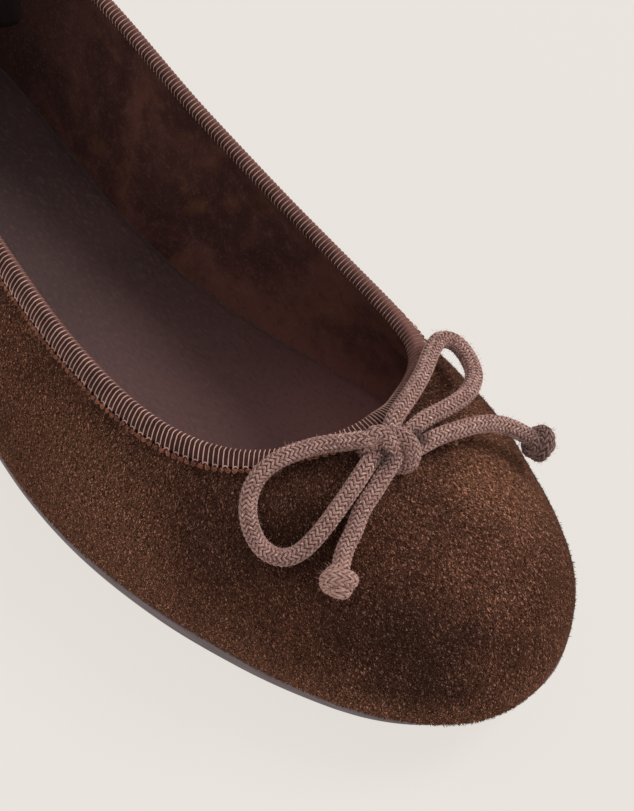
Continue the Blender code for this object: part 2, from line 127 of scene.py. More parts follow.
def gridFaces(rows, columns):
    faces = []
    for low in range(rows - 1):
        for i in range(columns - 1):
            here, above = low * columns + i, (low + 1) * columns + i
            faces.append((here, here + 1, above + 1, above))
    return faces


def runAlong(points):
    # distance covered up to each point of a path
    return np.concatenate([[0], np.cumsum(np.linalg.norm(np.diff(points, axis=0), axis=1))])


def pathLength(path):
    return float(np.linalg.norm(np.diff(path, axis=0), axis=1).sum())


def storeFloat(mesh, name, values):
    layer = mesh.attributes.new(name, "FLOAT", "POINT")
    layer.data.foreach_set("value", np.asarray(values, np.float32).ravel())


def storeVector(mesh, name, values):
    layer = mesh.attributes.new(name, "FLOAT_VECTOR", "POINT")
    layer.data.foreach_set("vector", np.asarray(values, np.float32).ravel())


def storeMap(mesh, coordinates):
    # one (u, v) per vertex, copied to the face corners
    layer = mesh.uv_layers.new(name="map")
    corners = np.zeros(len(mesh.loops), np.int32)
    mesh.loops.foreach_get("vertex_index", corners)
    layer.data.foreach_set("uv", np.asarray(coordinates, np.float32)[corners].ravel())


def dress(piece, slot, *nodes):
    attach(piece, "root")
    if nodes:
        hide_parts(*nodes)
    return piece


# Shader and geometry trees
class Socket:
    def __init__(self, owner, link):
        self.owner = owner
        self.link = link

    def out(self, name):
        return Socket(self.owner, self.link.node.outputs[name])

    def math(self, operation, *values):
        return self.owner.node("ShaderNodeMath", {"operation": operation}, dict(enumerate(values)))

    def __add__(self, other):
        return self.math("ADD", self, other)

    def __radd__(self, other):
        return self.math("ADD", other, self)

    def __sub__(self, other):
        return self.math("SUBTRACT", self, other)

    def __rsub__(self, other):
        return self.math("SUBTRACT", other, self)

    def __mul__(self, other):
        return self.math("MULTIPLY", self, other)

    def __rmul__(self, other):
        return self.math("MULTIPLY", other, self)

    def sine(self):
        return self.math("SINE", self)

    def between(self, low, high):
        # 0 below low, 1 above high, smooth in between
        values = {"Value": self, "From Min": low, "From Max": high}
        return self.owner.node("ShaderNodeMapRange", {"interpolation_type": "SMOOTHSTEP"}, values)


class Tree:
    def __init__(self, tree):
        self.tree = tree

    def node(self, kind, settings=None, values=None, output=0):
        made = self.tree.nodes.new(kind)
        for name, value in (settings or {}).items():
            setattr(made, name, value)
        for name, value in (values or {}).items():
            if isinstance(value, Socket):
                self.tree.links.new(value.link, made.inputs[name])
            else:
                made.inputs[name].default_value = value
        return Socket(self, made.outputs[output])

    def vector(self, operation, first, second, output=0):
        return self.node("ShaderNodeVectorMath", {"operation": operation}, {0: first, 1: second}, output)

    def scaled(self, vector, scale):
        return self.node("ShaderNodeVectorMath", {"operation": "SCALE"}, {0: vector, "Scale": scale})

    def stored(self, name):
        return self.node("GeometryNodeInputNamedAttribute", {"data_type": "FLOAT_VECTOR"}, {"Name": name})

    def random(self, low, high, seed):
        return self.node("FunctionNodeRandomValue", {"data_type": "FLOAT"}, {2: low, 3: high, "Seed": seed})

    def shaken(self, reach, seed):
        # a vector that differs from point to point, as far as the reach each way
        ends = {0: (-1.0, -1.0, -1.0), 1: (1.0, 1.0, 1.0), "Seed": seed}
        return self.scaled(self.node("FunctionNodeRandomValue", {"data_type": "FLOAT_VECTOR"}, ends), reach)

    def aimed(self, along, out):
        # the turn that lays X along a way and Z as far out as that leaves free
        aim = self.node("FunctionNodeAlignRotationToVector", {"axis": "X"}, {"Vector": along})
        settings = {"axis": "Z", "pivot_axis": "X"}
        return self.node("FunctionNodeAlignRotationToVector", settings, {"Rotation": aim, "Vector": out})

    def copies(self, points, shape, aim, size):
        # one copy of an object's mesh on each point
        shape = self.node("GeometryNodeObjectInfo", None, {"Object": shape}, output="Geometry")
        values = {"Points": points, "Instance": shape, "Rotation": aim, "Scale": size}
        return self.node("GeometryNodeInstanceOnPoints", None, values)


class Finish(Tree):
    # a material with one Principled shader; steady numbers go straight onto the shader's own sockets
    def __init__(self, name, **steady):
        self.material = bpy.data.materials.new(name)
        self.material.use_nodes = True
        super().__init__(self.material.node_tree)
        self.shader = self.tree.nodes["Principled BSDF"]
        for socket, value in steady.items():
            self.shader.inputs[socket.replace("_", " ")].default_value = value

    def feed(self, socket, value):
        self.tree.links.new(value.link, self.shader.inputs[socket])

    def place(self):
        return self.node("ShaderNodeTexCoord", output="Object")

    def map(self):
        return self.node("ShaderNodeUVMap", {"uv_map": "map"})

    def attribute(self, name):
        return self.node("ShaderNodeAttribute", {"attribute_name": name}, output="Fac")

    def stretched(self, vector, scale, turn=(0, 0, 0)):
        return self.node("ShaderNodeMapping", None, {"Vector": vector, "Scale": scale, "Rotation": turn})

    def noise(self, vector, scale, detail=2.0, rough=0.5, warp=0.0):
        values = {"Vector": vector, "Scale": scale, "Detail": detail, "Roughness": rough, "Distortion": warp}
        return self.node("ShaderNodeTexNoise", None, values)

    def cells(self, vector, scale):
        return self.node("ShaderNodeTexVoronoi", None, {"Vector": vector, "Scale": scale}, "Distance")

    def away(self, place, spot, reach):
        # distance from a spot in millimetres, in shares of the reach
        far = self.vector("DISTANCE", place, tuple(part * mm for part in spot), "Value")
        return far * (1 / (reach * mm))

    def split(self, vector, axis):
        return self.node("ShaderNodeSeparateXYZ", None, {0: vector}, output=axis)

    def mix(self, share, first, second):
        return self.node("ShaderNodeMix", {"data_type": "RGBA"}, {0: share, 6: first, 7: second}, output=2)

    def bump(self, height, distance, strength):
        values = {"Height": height, "Distance": distance, "Strength": strength}
        return self.node("ShaderNodeBump", None, values)


def geometryTree(name, inputs):
    # inputs are (name, kind, default); returns the tree and its input sockets by name
    group = bpy.data.node_groups.new(name, "GeometryNodeTree")
    group.interface.new_socket("Geometry", in_out="INPUT", socket_type="NodeSocketGeometry")
    for label, kind, default in inputs:
        socket = group.interface.new_socket(label, in_out="INPUT", socket_type="NodeSocket" + kind)
        if default is not None:
            socket.default_value = default
    group.interface.new_socket("Geometry", in_out="OUTPUT", socket_type="NodeSocketGeometry")
    tree = Tree(group)
    entry = tree.node("NodeGroupInput")
    return tree, {label: entry.out(label) for label in ["Geometry"] + [row[0] for row in inputs]}


def closeTree(tree, geometry, finish):
    # copies become plain faces with one material
    real = tree.node("GeometryNodeRealizeInstances", None, {"Geometry": geometry})
    done = tree.node("GeometryNodeSetMaterial", None, {"Geometry": real, "Material": finish})
    leave = tree.tree.nodes.new("NodeGroupOutput")
    tree.tree.links.new(done.link, leave.inputs["Geometry"])
    return tree.tree


def growPiece(piece, group, settings):
    # runs a geometry tree on the piece and keeps the result as its plain mesh
    grower = piece.modifiers.new("grow", "NODES")
    grower.node_group = group
    for socket in group.interface.items_tree:
        if socket.in_out == "INPUT" and socket.name in settings:
            grower[socket.identifier] = settings[socket.name]
    bpy.context.view_layer.update()
    grown = piece.evaluated_get(bpy.context.evaluated_depsgraph_get())
    mesh = bpy.data.meshes.new_from_object(grown)
    piece.modifiers.clear()
    piece.data = mesh
    return piece


# The last: the surface that every piece follows
lastSizes = {
    "length": 0.2435,
    "ballHalf": 0.0395,
    "backHeight": 0.0555,
    "heelHeight": 0.009,
    "toeSpring": 0.0112,
    "soleThick": 0.0033,
    "soleMargin": 0.0012,
    "wall": 0.0018,
    "gap": 0.0003,
}
# along and topAlong are shares of the length, heights of backHeight, the others of ballHalf
stationColumns = (
    "along", "lateral", "medial", "topAlong", "topLateral", "topMedial", "topHeight",
    "lowOut", "lowUp", "highOut", "highDrop", "swellLateral", "swellMedial",
)
stationShares = {
    "heelBack": (0.000, 0.0, 0.0, 0.016, 0.0, 0.0, 1.00, 0.114, 0.324, 0.139, 0.324, 0.020, 0.020),
    "heelCorner": (0.022, 0.36, 0.36, 0.032, 0.29, 0.29, 0.99, 0.114, 0.324, 0.127, 0.324, 0.020, 0.020),
    "heelRound": (0.080, 0.62, 0.59, 0.082, 0.51, 0.51, 0.96, 0.114, 0.315, 0.114, 0.306, 0.020, 0.020),
    "heelSide": (0.170, 0.71, 0.66, 0.160, 0.615, 0.649, 0.905, 0.109, 0.288, 0.101, 0.270, 0.020, 0.020),
    "waistBack": (0.320, 0.760, 0.575, 0.297, 0.69, 0.748, 0.827, 0.101, 0.261, 0.085, 0.225, 0.020, 0.020),
    "waist": (0.450, 0.873, 0.55, 0.427, 0.764, 0.763, 0.764, 0.101, 0.243, 0.083, 0.216, 0.032, 0.020),
    "ballBack": (0.570, 1.003, 0.705, 0.550, 0.835, 0.785, 0.729, 0.101, 0.238, 0.116, 0.202, 0.048, 0.020),
    "ball": (0.680, 1.008, 0.896, 0.665, 0.804, 0.756, 0.717, 0.101, 0.244, 0.200, 0.169, 0.040, 0.020),
    "toeRoot": (0.785, 0.883, 0.96, 0.733, 0.611, 0.660, 0.735, 0.096, 0.261, 0.311, 0.137, 0.030, 0.020),
    "toeSide": (0.880, 0.708, 0.882, 0.758, 0.374, 0.488, 0.747, 0.096, 0.280, 0.483, 0.092, 0.048, 0.025),
    "toeRound": (0.950, 0.493, 0.684, 0.772, 0.196, 0.286, 0.773, 0.101, 0.298, 0.596, 0.081, 0.068, 0.030),
    "toeCorner": (0.987, 0.221, 0.426, 0.779, 0.055, 0.165, 0.790, 0.104, 0.308, 0.677, 0.076, 0.094, 0.020),
    "toeTip": (1.000, -0.108, 0.108, 0.780, -0.060, 0.060, 0.797, 0.104, 0.312, 0.705, 0.074, 0.050, 0.050),
}
liftShares = (  # along, share of heelHeight, share of toeSpring
    (0.00, 1.00, 0.00), (0.20, 1.00, 0.00), (0.32, 0.80, 0.00), (0.45, 0.38, 0.00), (0.58, 0.04, 0.00),
    (0.66, 0.00, 0.00), (0.74, 0.00, 0.00), (0.82, 0.00, 0.12), (0.90, 0.00, 0.42), (1.00, 0.00, 1.00),
)


def between(start, startSlope, end, endSlope, gap, share):
    return (
        (2 * share ** 3 - 3 * share ** 2 + 1) * start
        + (share ** 3 - 2 * share ** 2 + share) * gap * startSlope
        + (3 * share ** 2 - 2 * share ** 3) * end
        + (share ** 3 - share ** 2) * gap * endSlope
    )


def closedSlopes(knots, rows):
    count = len(knots)
    gaps = np.diff(np.append(knots, knots[0] + 1.0))
    steps = (np.roll(rows, -1, axis=0) - rows) / gaps[:, None]
    matrix = np.zeros((count, count))
    right = np.zeros_like(rows)
    for i in range(count):
        before, after = gaps[i - 1], gaps[i]
        matrix[i, i - 1] += after
        matrix[i, i] += 2 * (before + after)
        matrix[i, (i + 1) % count] += before
        right[i] = 3 * (after * steps[i - 1] + before * steps[i])
    return np.linalg.solve(matrix, right)


def openSlopes(knots, rows):
    count = len(knots)
    gaps = np.diff(knots)
    steps = np.diff(rows, axis=0) / gaps[:, None]
    matrix = np.zeros((count, count))
    right = np.zeros_like(rows)
    matrix[0, :2] = 2, 1
    matrix[-1, -2:] = 1, 2
    right[0], right[-1] = 3 * steps[0], 3 * steps[-1]
    for i in range(1, count - 1):
        before, after = gaps[i - 1], gaps[i]
        matrix[i, i - 1:i + 2] = after, 2 * (before + after), before
        right[i] = 3 * (after * steps[i - 1] + before * steps[i])
    return np.linalg.solve(matrix, right)


def soleLift(along):
    table = np.array(liftShares)
    places = table[:, 0] * lastSizes["length"]
    lifts = table[:, 1] * lastSizes["heelHeight"] + table[:, 2] * lastSizes["toeSpring"]
    steps = np.diff(lifts) / np.diff(places)
    slopes = np.concatenate([steps[:1], np.zeros(len(lifts) - 2), steps[-1:]])
    for i in range(1, len(lifts) - 1):
        if steps[i - 1] * steps[i] > 0:
            slopes[i] = 2 * steps[i - 1] * steps[i] / (steps[i - 1] + steps[i])
    along = np.asarray(along, float)
    held = np.clip(along, places[0], places[-1])
    i = np.clip(np.searchsorted(places, held, side="right") - 1, 0, len(places) - 2)
    gap = places[i + 1] - places[i]
    lift = between(lifts[i], slopes[i], lifts[i + 1], slopes[i + 1], gap, (held - places[i]) / gap)
    return lift + np.maximum(along - places[-1], 0) * slopes[-1]


class ShoeLast:
    # turn goes from the heel's back by the lateral side (0 to 0.5, the toe) and home by the medial side;
    # rise goes from the feather line (0) to the topline (1)
    def __init__(self):
        names = list(stationShares)
        half = len(names) - 1
        lateral = [self.readStation(name, -1) for name in names]
        medial = [self.readStation(name, 1) for name in names]
        tip = lateral[-1].copy()
        tip[0], tip[2] = medial[-1][0], medial[-1][2]
        self.rows = np.array(lateral[:-1] + [tip] + medial[-2:0:-1])
        widths = np.array([(medial[i][0] - lateral[i][0]) / 2 for i in range(half)] + [0.0])
        places = np.array([row[1] for row in lateral])
        chords = np.hypot(np.diff(widths), np.diff(places))
        turns = np.concatenate([[0], np.cumsum(chords)]) / chords.sum() / 2
        self.knots = np.concatenate([turns, 1 - turns[-2:0:-1]])
        self.slopes = closedSlopes(self.knots, self.rows)
        self.centre = np.zeros(3)
        low, high = (np.array(corner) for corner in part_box("upper"))
        skin = self.skin(np.linspace(0, 1, 400, endpoint=False), np.linspace(0, 1, 40)).reshape(-1, 3)
        self.centre[:2] = ((skin.min(axis=0) + skin.max(axis=0)) / 2 - (low + high) / 2)[:2]

    def readStation(self, name, side):
        at = dict(zip(stationColumns, stationShares[name]))
        near = "Medial" if side > 0 else "Lateral"
        across, top, swell = side * at[near.lower()], side * at["top" + near], at["swell" + near]
        wide, high, long = lastSizes["ballHalf"], lastSizes["backHeight"], lastSizes["length"]
        return np.array([
            across * wide, at["along"] * long, top * wide, at["topAlong"] * long,
            at["topHeight"] * high, at["lowOut"] * wide, at["lowUp"] * high,
            at["highOut"] * wide, at["highDrop"] * high, swell * wide,
        ])

    def ring(self, turns):
        turns = np.mod(turns, 1.0)
        i = np.searchsorted(self.knots, turns, side="right") - 1
        j = (i + 1) % len(self.knots)
        ends = np.append(self.knots, 1.0)
        gap = (ends[i + 1] - ends[i])[:, None]
        share = (turns - ends[i])[:, None] / gap
        return between(self.rows[i], self.slopes[i], self.rows[j], self.slopes[j], gap, share)

    def outward(self, turns):
        # level, square to the feather line
        step = 1e-4
        way = (self.ring(turns + step) - self.ring(turns - step))[:, :2]
        return unit(np.stack([-way[:, 1], -way[:, 0], np.zeros(len(way))], axis=1))

    def base(self, along):
        return soleLift(along) + lastSizes["soleThick"] + lastSizes["gap"]

    def edge(self, turns):
        # the last's own edge, just above the sole and not yet centred
        row = self.ring(turns)
        return np.stack([row[:, 0], -row[:, 1], self.base(row[:, 1])], axis=1)

    def skin(self, turns, rises):
        # points (turns by rises) of the upper's outer surface, in the shoe's frame, toe towards -Y
        turns = np.asarray(turns, float)
        row = self.ring(turns)
        out = self.outward(turns)
        up = np.array([0.0, 0.0, 1.0])
        edge = self.edge(turns)
        feather = edge + out * row[:, 9:10]
        feather[:, 2] = self.base(-feather[:, 1])
        topline = np.stack([row[:, 2], -row[:, 3], self.base(row[:, 3]) + row[:, 4]], axis=1)
        low = edge + out * row[:, 5:6] + up * row[:, 6:7]
        high = topline + out * row[:, 7:8] - up * row[:, 8:9]
        rise = np.asarray(rises, float)
        rise = (rise if rise.ndim == 2 else rise[None])[..., None]
        curve = (
            (1 - rise) ** 3 * feather[:, None]
            + 3 * (1 - rise) ** 2 * rise * low[:, None]
            + 3 * (1 - rise) * rise ** 2 * high[:, None]
            + rise ** 3 * topline[:, None]
        )
        return curve - self.centre

    def normals(self, turns, rises):
        step = 1e-3
        rises = np.asarray(rises, float)
        around = self.skin(turns + step, rises) - self.skin(turns - step, rises)
        upward = self.skin(turns, rises + step) - self.skin(turns, rises - step)
        return unit(np.cross(around, upward))

    def soleTop(self, points):
        # height of the sole's upper face under points of the shoe's frame
        return soleLift(-(points[..., 1] + self.centre[1])) + lastSizes["soleThick"]

    def risesBelowRim(self, turns, depths):
        rises = np.linspace(1.0, 0.4, 61)
        wall = self.skin(turns, rises)
        fallen = np.cumsum(np.linalg.norm(np.diff(wall, axis=1), axis=2), axis=1)
        fallen = np.concatenate([np.zeros((len(turns), 1)), fallen], axis=1)
        return np.array([np.interp(depths, way, rises) for way in fallen])

    def evenTurns(self, count):
        # turns an even distance apart along the topline, closer on the lateral side and at the throat
        fine = np.linspace(0, 1, 4001)
        rim = self.skin(fine, [1.0])[:, 0]
        crowd = 1.0 + 0.03 * np.sin(2 * math.pi * fine) + 0.4 * np.exp(-((fine - 0.51) / 0.03) ** 2)
        run = np.concatenate([[0], np.cumsum(np.linalg.norm(np.diff(rim, axis=0), axis=1) * crowd[1:])])
        return np.interp(np.arange(count) / count * run[-1], run, fine)

    def rimLength(self):
        return pathLength(self.skin(np.linspace(0, 1, 2001), [1.0])[:, 0])


last = ShoeLast()
throat = last.skin(np.array([0.5]), [1.0])[0, 0]
print("last ready, throat at", np.round(throat * 1000, 2))


# Bow: two braided cords, their knot and the knots at their ends
bow = {
    "cordThick": 3.8 * mm,
    "strands": 24,
    "braidPitch": 12.2 * mm,
    "strandWide": 0.285 * mm,
    "strandThick": 0.22 * mm,
    "weave": 0.15 * mm,
    "step": 0.32 * mm,
    "endKnotLong": 6.0 * mm,
    "endKnotHalf": 4.0 * mm,
    "hairs": 3600,
    "hairLong": 1.4 * mm,
    "hairWide": 0.055 * mm,
}
# millimetres from the topline's front centre: towards the medial side, towards the heel, up
cordRoutes = {
    "bow_cord_lateral": (
        (-6.4, -7.0, 2.6), (-8.4, -5.3, 4.0), (-10.3, -3.5, 3.1), (-14.0, -0.5, 1.8), (-18.4, 1.9, 0.7),
        (-23.5, 3.6, -0.8), (-28.2, 3.8, -3.6), (-31.4, 1.8, -6.9), (-33.1, -1.9, -10.0),
        (-33.2, -6.3, -11.7), (-31.2, -10.3, -11.0), (-27.4, -12.0, -7.9), (-22.5, -11.7, -4.4),
        (-17.0, -10.6, -1.3), (-12.3, -9.4, 1.0), (-9.2, -8.7, 1.6), (-5.0, -9.9, 0.8), (-0.9, -11.4, 1.2),
        (5.1, -12.1, 1.5), (10.0, -13.0, 1.1), (15.2, -14.2, 0.3), (19.2, -15.5, -0.9),
        (22.9, -17.7, -2.7), (26.8, -21.0, -5.8),
    ),
    "bow_cord_medial": (
        (-4.4, -8.6, 1.6), (-1.1, -5.5, 3.5), (4.4, -3.2, 3.5), (10.7, -0.8, 2.9), (17.1, 2.4, 1.9),
        (22.3, 5.2, 0.9), (25.9, 5.9, 0.1), (28.1, 4.2, -0.9), (28.1, 0.6, -1.5), (25.7, -3.7, -1.1),
        (21.1, -6.9, 0.3), (15.7, -8.2, 1.6), (9.2, -8.3, 2.6), (2.2, -8.5, 3.1), (-2.6, -9.9, 2.2),
        (-7.1, -11.7, 1.6), (-9.5, -12.4, 0.7), (-12.6, -13.3, -1.0), (-16.3, -14.3, -2.9),
        (-20.2, -16.3, -5.2), (-23.4, -17.7, -6.9), (-26.3, -19.9, -8.4),
    ),
}
knotRoutes = {
    "front": (
        (-8.2, -6.5, 0.7), (-8.4, -6.0, 2.9), (-7.4, -5.7, 4.4), (-6.1, -6.2, 5.1), (-5.3, -7.4, 5.0),
        (-5.0, -9.0, 4.0), (-5.1, -10.4, 2.3), (-5.4, -10.9, 0.6),
    ),
    "side": (
        (-3.4, -6.3, 1.4), (-2.5, -7.2, 3.4), (-2.3, -8.9, 4.4), (-2.1, -10.6, 4.5), (-2.0, -12.0, 3.7),
        (-2.4, -12.9, 2.2), (-3.2, -13.1, 0.7), (-4.0, -12.1, -0.5), (-4.6, -10.4, -1.0),
    ),
}


def smoothPath(points, step):
    points = np.asarray(points, float)
    knots = runAlong(points)
    slopes = openSlopes(knots, points)
    fine = np.linspace(0, knots[-1], 1200)
    i = np.clip(np.searchsorted(knots, fine, side="right") - 1, 0, len(knots) - 2)
    gap = (knots[i + 1] - knots[i])[:, None]
    share = (fine - knots[i])[:, None] / gap
    curve = between(points[i], slopes[i], points[i + 1], slopes[i + 1], gap, share)
    run = runAlong(curve)
    count = max(3, round(run[-1] / step) + 1)
    even = np.linspace(0, run[-1], count)
    return np.stack([np.interp(even, run, curve[:, axis]) for axis in range(3)], axis=1)


def carryFrames(path):
    # directions along and across a path that turn with it as little as they can
    ways = unit(np.gradient(path, axis=0))
    across = unit(np.cross(ways[0], (0.31, 0.17, 0.93)))
    sides = [across]
    for way in ways[1:]:
        across = unit(across - way * np.dot(across, way))
        sides.append(across)
    sides = np.array(sides)
    return ways, sides, np.cross(ways, sides)


def tubeMesh(centres, radials, tangents, wide, thick, sides, start):
    # one strand: an oval tube with closed ends; returns points, faces and map coordinates
    count = len(centres)
    flats = np.cross(tangents, radials)
    angles = np.arange(sides) / sides * 2 * math.pi
    rings = (
        centres[:, None]
        + flats[:, None] * (np.cos(angles) * wide)[None, :, None]
        + radials[:, None] * (np.sin(angles) * thick)[None, :, None]
    )
    run = runAlong(centres)
    uv = np.stack(np.broadcast_arrays(run[:, None], np.arange(sides)[None] / sides), axis=-1).reshape(-1, 2)
    points = np.concatenate([rings.reshape(-1, 3), centres[:1], centres[-1:]])
    uv = np.concatenate([uv, [(run[0], 0.0), (run[-1], 0.0)]])
    faces = []
    for row in range(count - 1):
        for side in range(sides):
            after = (side + 1) % sides
            low, high = start + row * sides, start + (row + 1) * sides
            faces.append((low + side, low + after, high + after, high + side))
    first, end = start + count * sides, start + count * sides + 1
    final = start + (count - 1) * sides
    for side in range(sides):
        after = (side + 1) % sides
        faces.append((first, start + after, start + side))
        faces.append((end, final + side, final + after))
    return points, faces, uv


def braidMesh(path, thick, pitch, start=0, phase=0.0):
    # a tubular braid round a path: half of the strands each way, over and under in turn, on a core that the
    # finish darkens as painted shade
    ways, sides, ups = carryFrames(path)
    run = runAlong(path)
    scale = thick / bow["cordThick"]
    wide, deep, weave = (bow[name] * scale for name in ("strandWide", "strandThick", "weave"))
    middle = thick / 2 - deep - weave
    half = bow["strands"] // 2
    points, faces, uvs, tops = [], [], [], []

    def gather(got, top):
        points.append(got[0])
        faces.extend(got[1])
        uvs.append(got[2])
        tops.append(top)
        return start + sum(len(part) for part in points)

    following, sided = start, 5
    facing = np.clip(np.sin(np.arange(sided) / sided * 2 * math.pi), 0, 1)
    for way in (1, -1):
        for number in range(half):
            angle = way * 2 * math.pi * run / pitch + 2 * math.pi * (number + phase) / half
            over = way * np.tanh(1.8 * np.cos(half / 2 * angle)) * weave
            radial = np.cos(angle)[:, None] * sides + np.sin(angle)[:, None] * ups
            centres = path + radial * (middle + over)[:, None]
            tangents = unit(np.gradient(centres, axis=0))
            proper = unit(radial - tangents * (radial * tangents).sum(axis=1)[:, None])
            got = tubeMesh(centres, proper, tangents, wide, deep, sided, following)
            high = 0.5 + 0.5 * over / weave
            top = (high[:, None] * (0.55 + 0.45 * facing)).ravel()
            following = gather(got, np.append(top, (0.0, 0.0)))
    every = max(1, round(1.0 * mm / bow["step"]))
    inner = path[::every]
    coreWays, coreSides, coreUps = carryFrames(inner)
    got = tubeMesh(inner, coreSides, coreWays, middle, middle, 8, following)
    # the core gets no top share, so the finish paints it dark as shade
    gather(got, np.zeros(len(got[0])))
    return np.concatenate(points), faces, np.concatenate(uvs), np.concatenate(tops)


def addBraids(name, paths, thick, pitch, material):
    points, faces, uvs, tops = [], [], [], []
    start = 0
    for number, path in enumerate(paths):
        got = braidMesh(path, thick, pitch, start, phase=0.3 * number)
        points.append(got[0])
        faces += got[1]
        uvs.append(got[2])
        tops.append(got[3])
        start += len(got[0])
    piece = addPiece(name, np.concatenate(points), faces, material)
    storeMap(piece.data, np.concatenate(uvs))
    storeFloat(piece.data, "top", np.concatenate(tops))
    return piece


# Painted shade in the gaps of the bow's knot, a darker medial end knot and a paler lateral end knot: tone,
# place and reach in millimetres, strength
cordMarks = (
    # painted shade in the gaps between the knot's cords, three marks
    ("darkened", (-3.7, -78.8, 49.8), 3.6, 0.85),
    ("darkened", (-5.6, -73.6, 49.5), 2.8, 0.60),
    ("darkened", (5.0, -79.3, 52.2), 3.0, 0.85),
    # the medial end knot, darker all over
    ("darkened", (32.0, -92.0, 42.0), 9.0, 0.50),
    ("pale", (-24.6, -89.8, 38.5), 7.5, 0.45),
)
cordTones = {"darkened": srgb(44, 27, 26), "pale": srgb(214, 170, 158)}


def makeCordFinish():
    finish = Finish(
        "cotton_cord", Roughness=0.9, Specular_IOR_Level=0.3,
        Sheen_Weight=0.4, Sheen_Roughness=0.6, Sheen_Tint=srgb(222, 182, 172),
    )
    place, around = finish.place(), finish.map()
    top = finish.attribute("top")
    yarn = (finish.split(around, "Y") * (2 * math.pi * 5)).sine()
    fibre = finish.noise(finish.stretched(around, (2600.0, 14.0, 1.0)), 1.0, 2.0, 0.65)
    specks = finish.noise(place, 1900.0, 2.0, 0.6)
    patches = finish.noise(place, 260.0, 3.0)
    tone = finish.mix(patches.between(0.3, 0.7), srgb(144, 102, 93), srgb(178, 136, 126))
    # pale flecks along the strands here and pale specks below: painted highlights on the fibres
    tone = finish.mix(fibre.between(0.48, 0.68) * 0.8, tone, srgb(234, 200, 190))
    tone = finish.mix((1.0 - fibre.between(0.32, 0.48)) * 0.7, tone, srgb(98, 62, 55))
    tone = finish.mix(specks.between(0.56, 0.70) * 0.65, tone, srgb(242, 214, 206))
    tone = finish.mix((1.0 - specks.between(0.34, 0.46)) * 0.7, tone, srgb(74, 44, 39))
    # painted shade where a strand dives under another, on its inner side and on the core
    gaps = (1.0 - top.between(0.05, 0.62)) * (specks.between(0.3, 0.6) * 0.4 + 0.55)
    tone = finish.mix(gaps, tone, srgb(56, 30, 27))
    # the darker marks in the knot are painted shade; the end knots are made darker and paler
    for shade, spot, reach, strength in cordMarks:
        near = 1.0 - finish.away(place, spot, reach).between(0.3, 1.0)
        tone = finish.mix(near * strength, tone, cordTones[shade])
    finish.feed("Base Color", tone)
    height = yarn * 0.3 + fibre * 0.9 + specks * 0.5
    finish.feed("Normal", finish.bump(height, 0.12 * mm, 0.9))
    return finish.material


def makeHairs(paths, material):
    # loose cotton ends that stand off the cords
    maker = np.random.default_rng(5)
    points, faces = [], []
    for path, share in paths:
        ways, sides, ups = carryFrames(path)
        count = round(bow["hairs"] * share)
        spots = maker.integers(2, len(path) - 2, count)
        angles = maker.uniform(0, 2 * math.pi, count)
        radial = np.cos(angles)[:, None] * sides[spots] + np.sin(angles)[:, None] * ups[spots]
        root = path[spots] + radial * (bow["cordThick"] / 2 - 0.25 * mm)
        lean = ways[spots] * maker.normal(0, 0.9, count)[:, None]
        lean += np.cross(ways[spots], radial) * maker.normal(0, 0.7, count)[:, None]
        aim = unit(radial * maker.uniform(0.15, 0.9, count)[:, None] + lean)
        long = bow["hairLong"] * maker.uniform(0.4, 1.2, count)[:, None]
        flat = unit(np.cross(aim, radial + 0.01)) * bow["hairWide"] / 2
        bend = radial * long * 0.18
        middle = root + aim * long * 0.55 + bend
        tip = root + aim * long
        corners = np.stack([root - flat, root + flat, middle + flat, middle - flat, tip], axis=1)
        start = sum(len(part) for part in points)
        points.append(corners.reshape(-1, 3))
        for number in range(count):
            low = start + 5 * number
            faces.append((low, low + 1, low + 2, low + 3))
            faces.append((low + 3, low + 2, low + 4))
    piece = addPiece("cord_hairs", np.concatenate(points), faces, material)
    storeFloat(piece.data, "top", np.ones(len(piece.data.vertices)))
    dress(piece, "cord")


def endKnotPath(start, way):
    # the cord's end wound into a bead: one wide turn, a narrower one over it, then tucked into the middle
    across = unit(np.cross(way, (0.0, 0.0, 1.0)))
    beside = np.cross(way, across)
    tube = 0.5 * bow["cordThick"]
    reach = bow["endKnotHalf"] - tube
    forwardReach = bow["endKnotLong"] - tube
    points = [start + way * 0.1 * tube]
    for turn, out, forward in (
        (0.00, 0.55, 0.30), (0.12, 0.90, 0.34), (0.25, 1.00, 0.38), (0.40, 1.02, 0.42), (0.55, 1.00, 0.48),
        (0.70, 1.00, 0.52), (0.85, 1.00, 0.56), (1.00, 0.98, 0.66), (1.15, 0.92, 0.78), (1.30, 0.80, 0.88),
        (1.45, 0.62, 0.95), (1.60, 0.38, 1.00), (1.75, 0.12, 0.98), (1.80, 0.05, 0.80),
    ):
        angle = 2 * math.pi * turn
        spoke = math.cos(angle) * across + math.sin(angle) * beside
        points.append(start + way * forward * forwardReach + spoke * out * reach)
    return smoothPath(points, bow["step"])


def makeBow():
    material = makeCordFinish()
    hairy = []
    for name, endKnot, nodes in (
        ("bow_cord_lateral", "end_knot_medial", ("bow_loop_lateral", "bow_end_medial")),
        ("bow_cord_medial", "end_knot_lateral", ("bow_loop_medial", "bow_end_lateral")),
    ):
        path = smoothPath(throat + np.array(cordRoutes[name]) * mm, bow["step"])
        cord = addBraids(name, [path], bow["cordThick"], bow["braidPitch"], material)
        dress(cord, "cord", *nodes)
        way = unit(path[-1] - path[-4])
        wrap = endKnotPath(path[-1], way)
        knot = addBraids(endKnot + "_wrap", [wrap], 0.98 * bow["cordThick"], bow["braidPitch"], material)
        dress(knot, "cord", endKnot)
        hairy += [(path, 0.32), (wrap, 0.12)]
    paths = [smoothPath(throat + np.array(route) * mm, bow["step"]) for route in knotRoutes.values()]
    middle = addBraids("bow_knot_strands", paths, bow["cordThick"], bow["braidPitch"], material)
    dress(middle, "cord", "bow_knot")
    makeHairs(hairy + [(path, 0.08) for path in paths], material)
    lengths = [round(pathLength(path) / mm) for path, share in hairy[::2]]
    print("bow tied from cords of", lengths, "mm, with end knots")


makeBow()


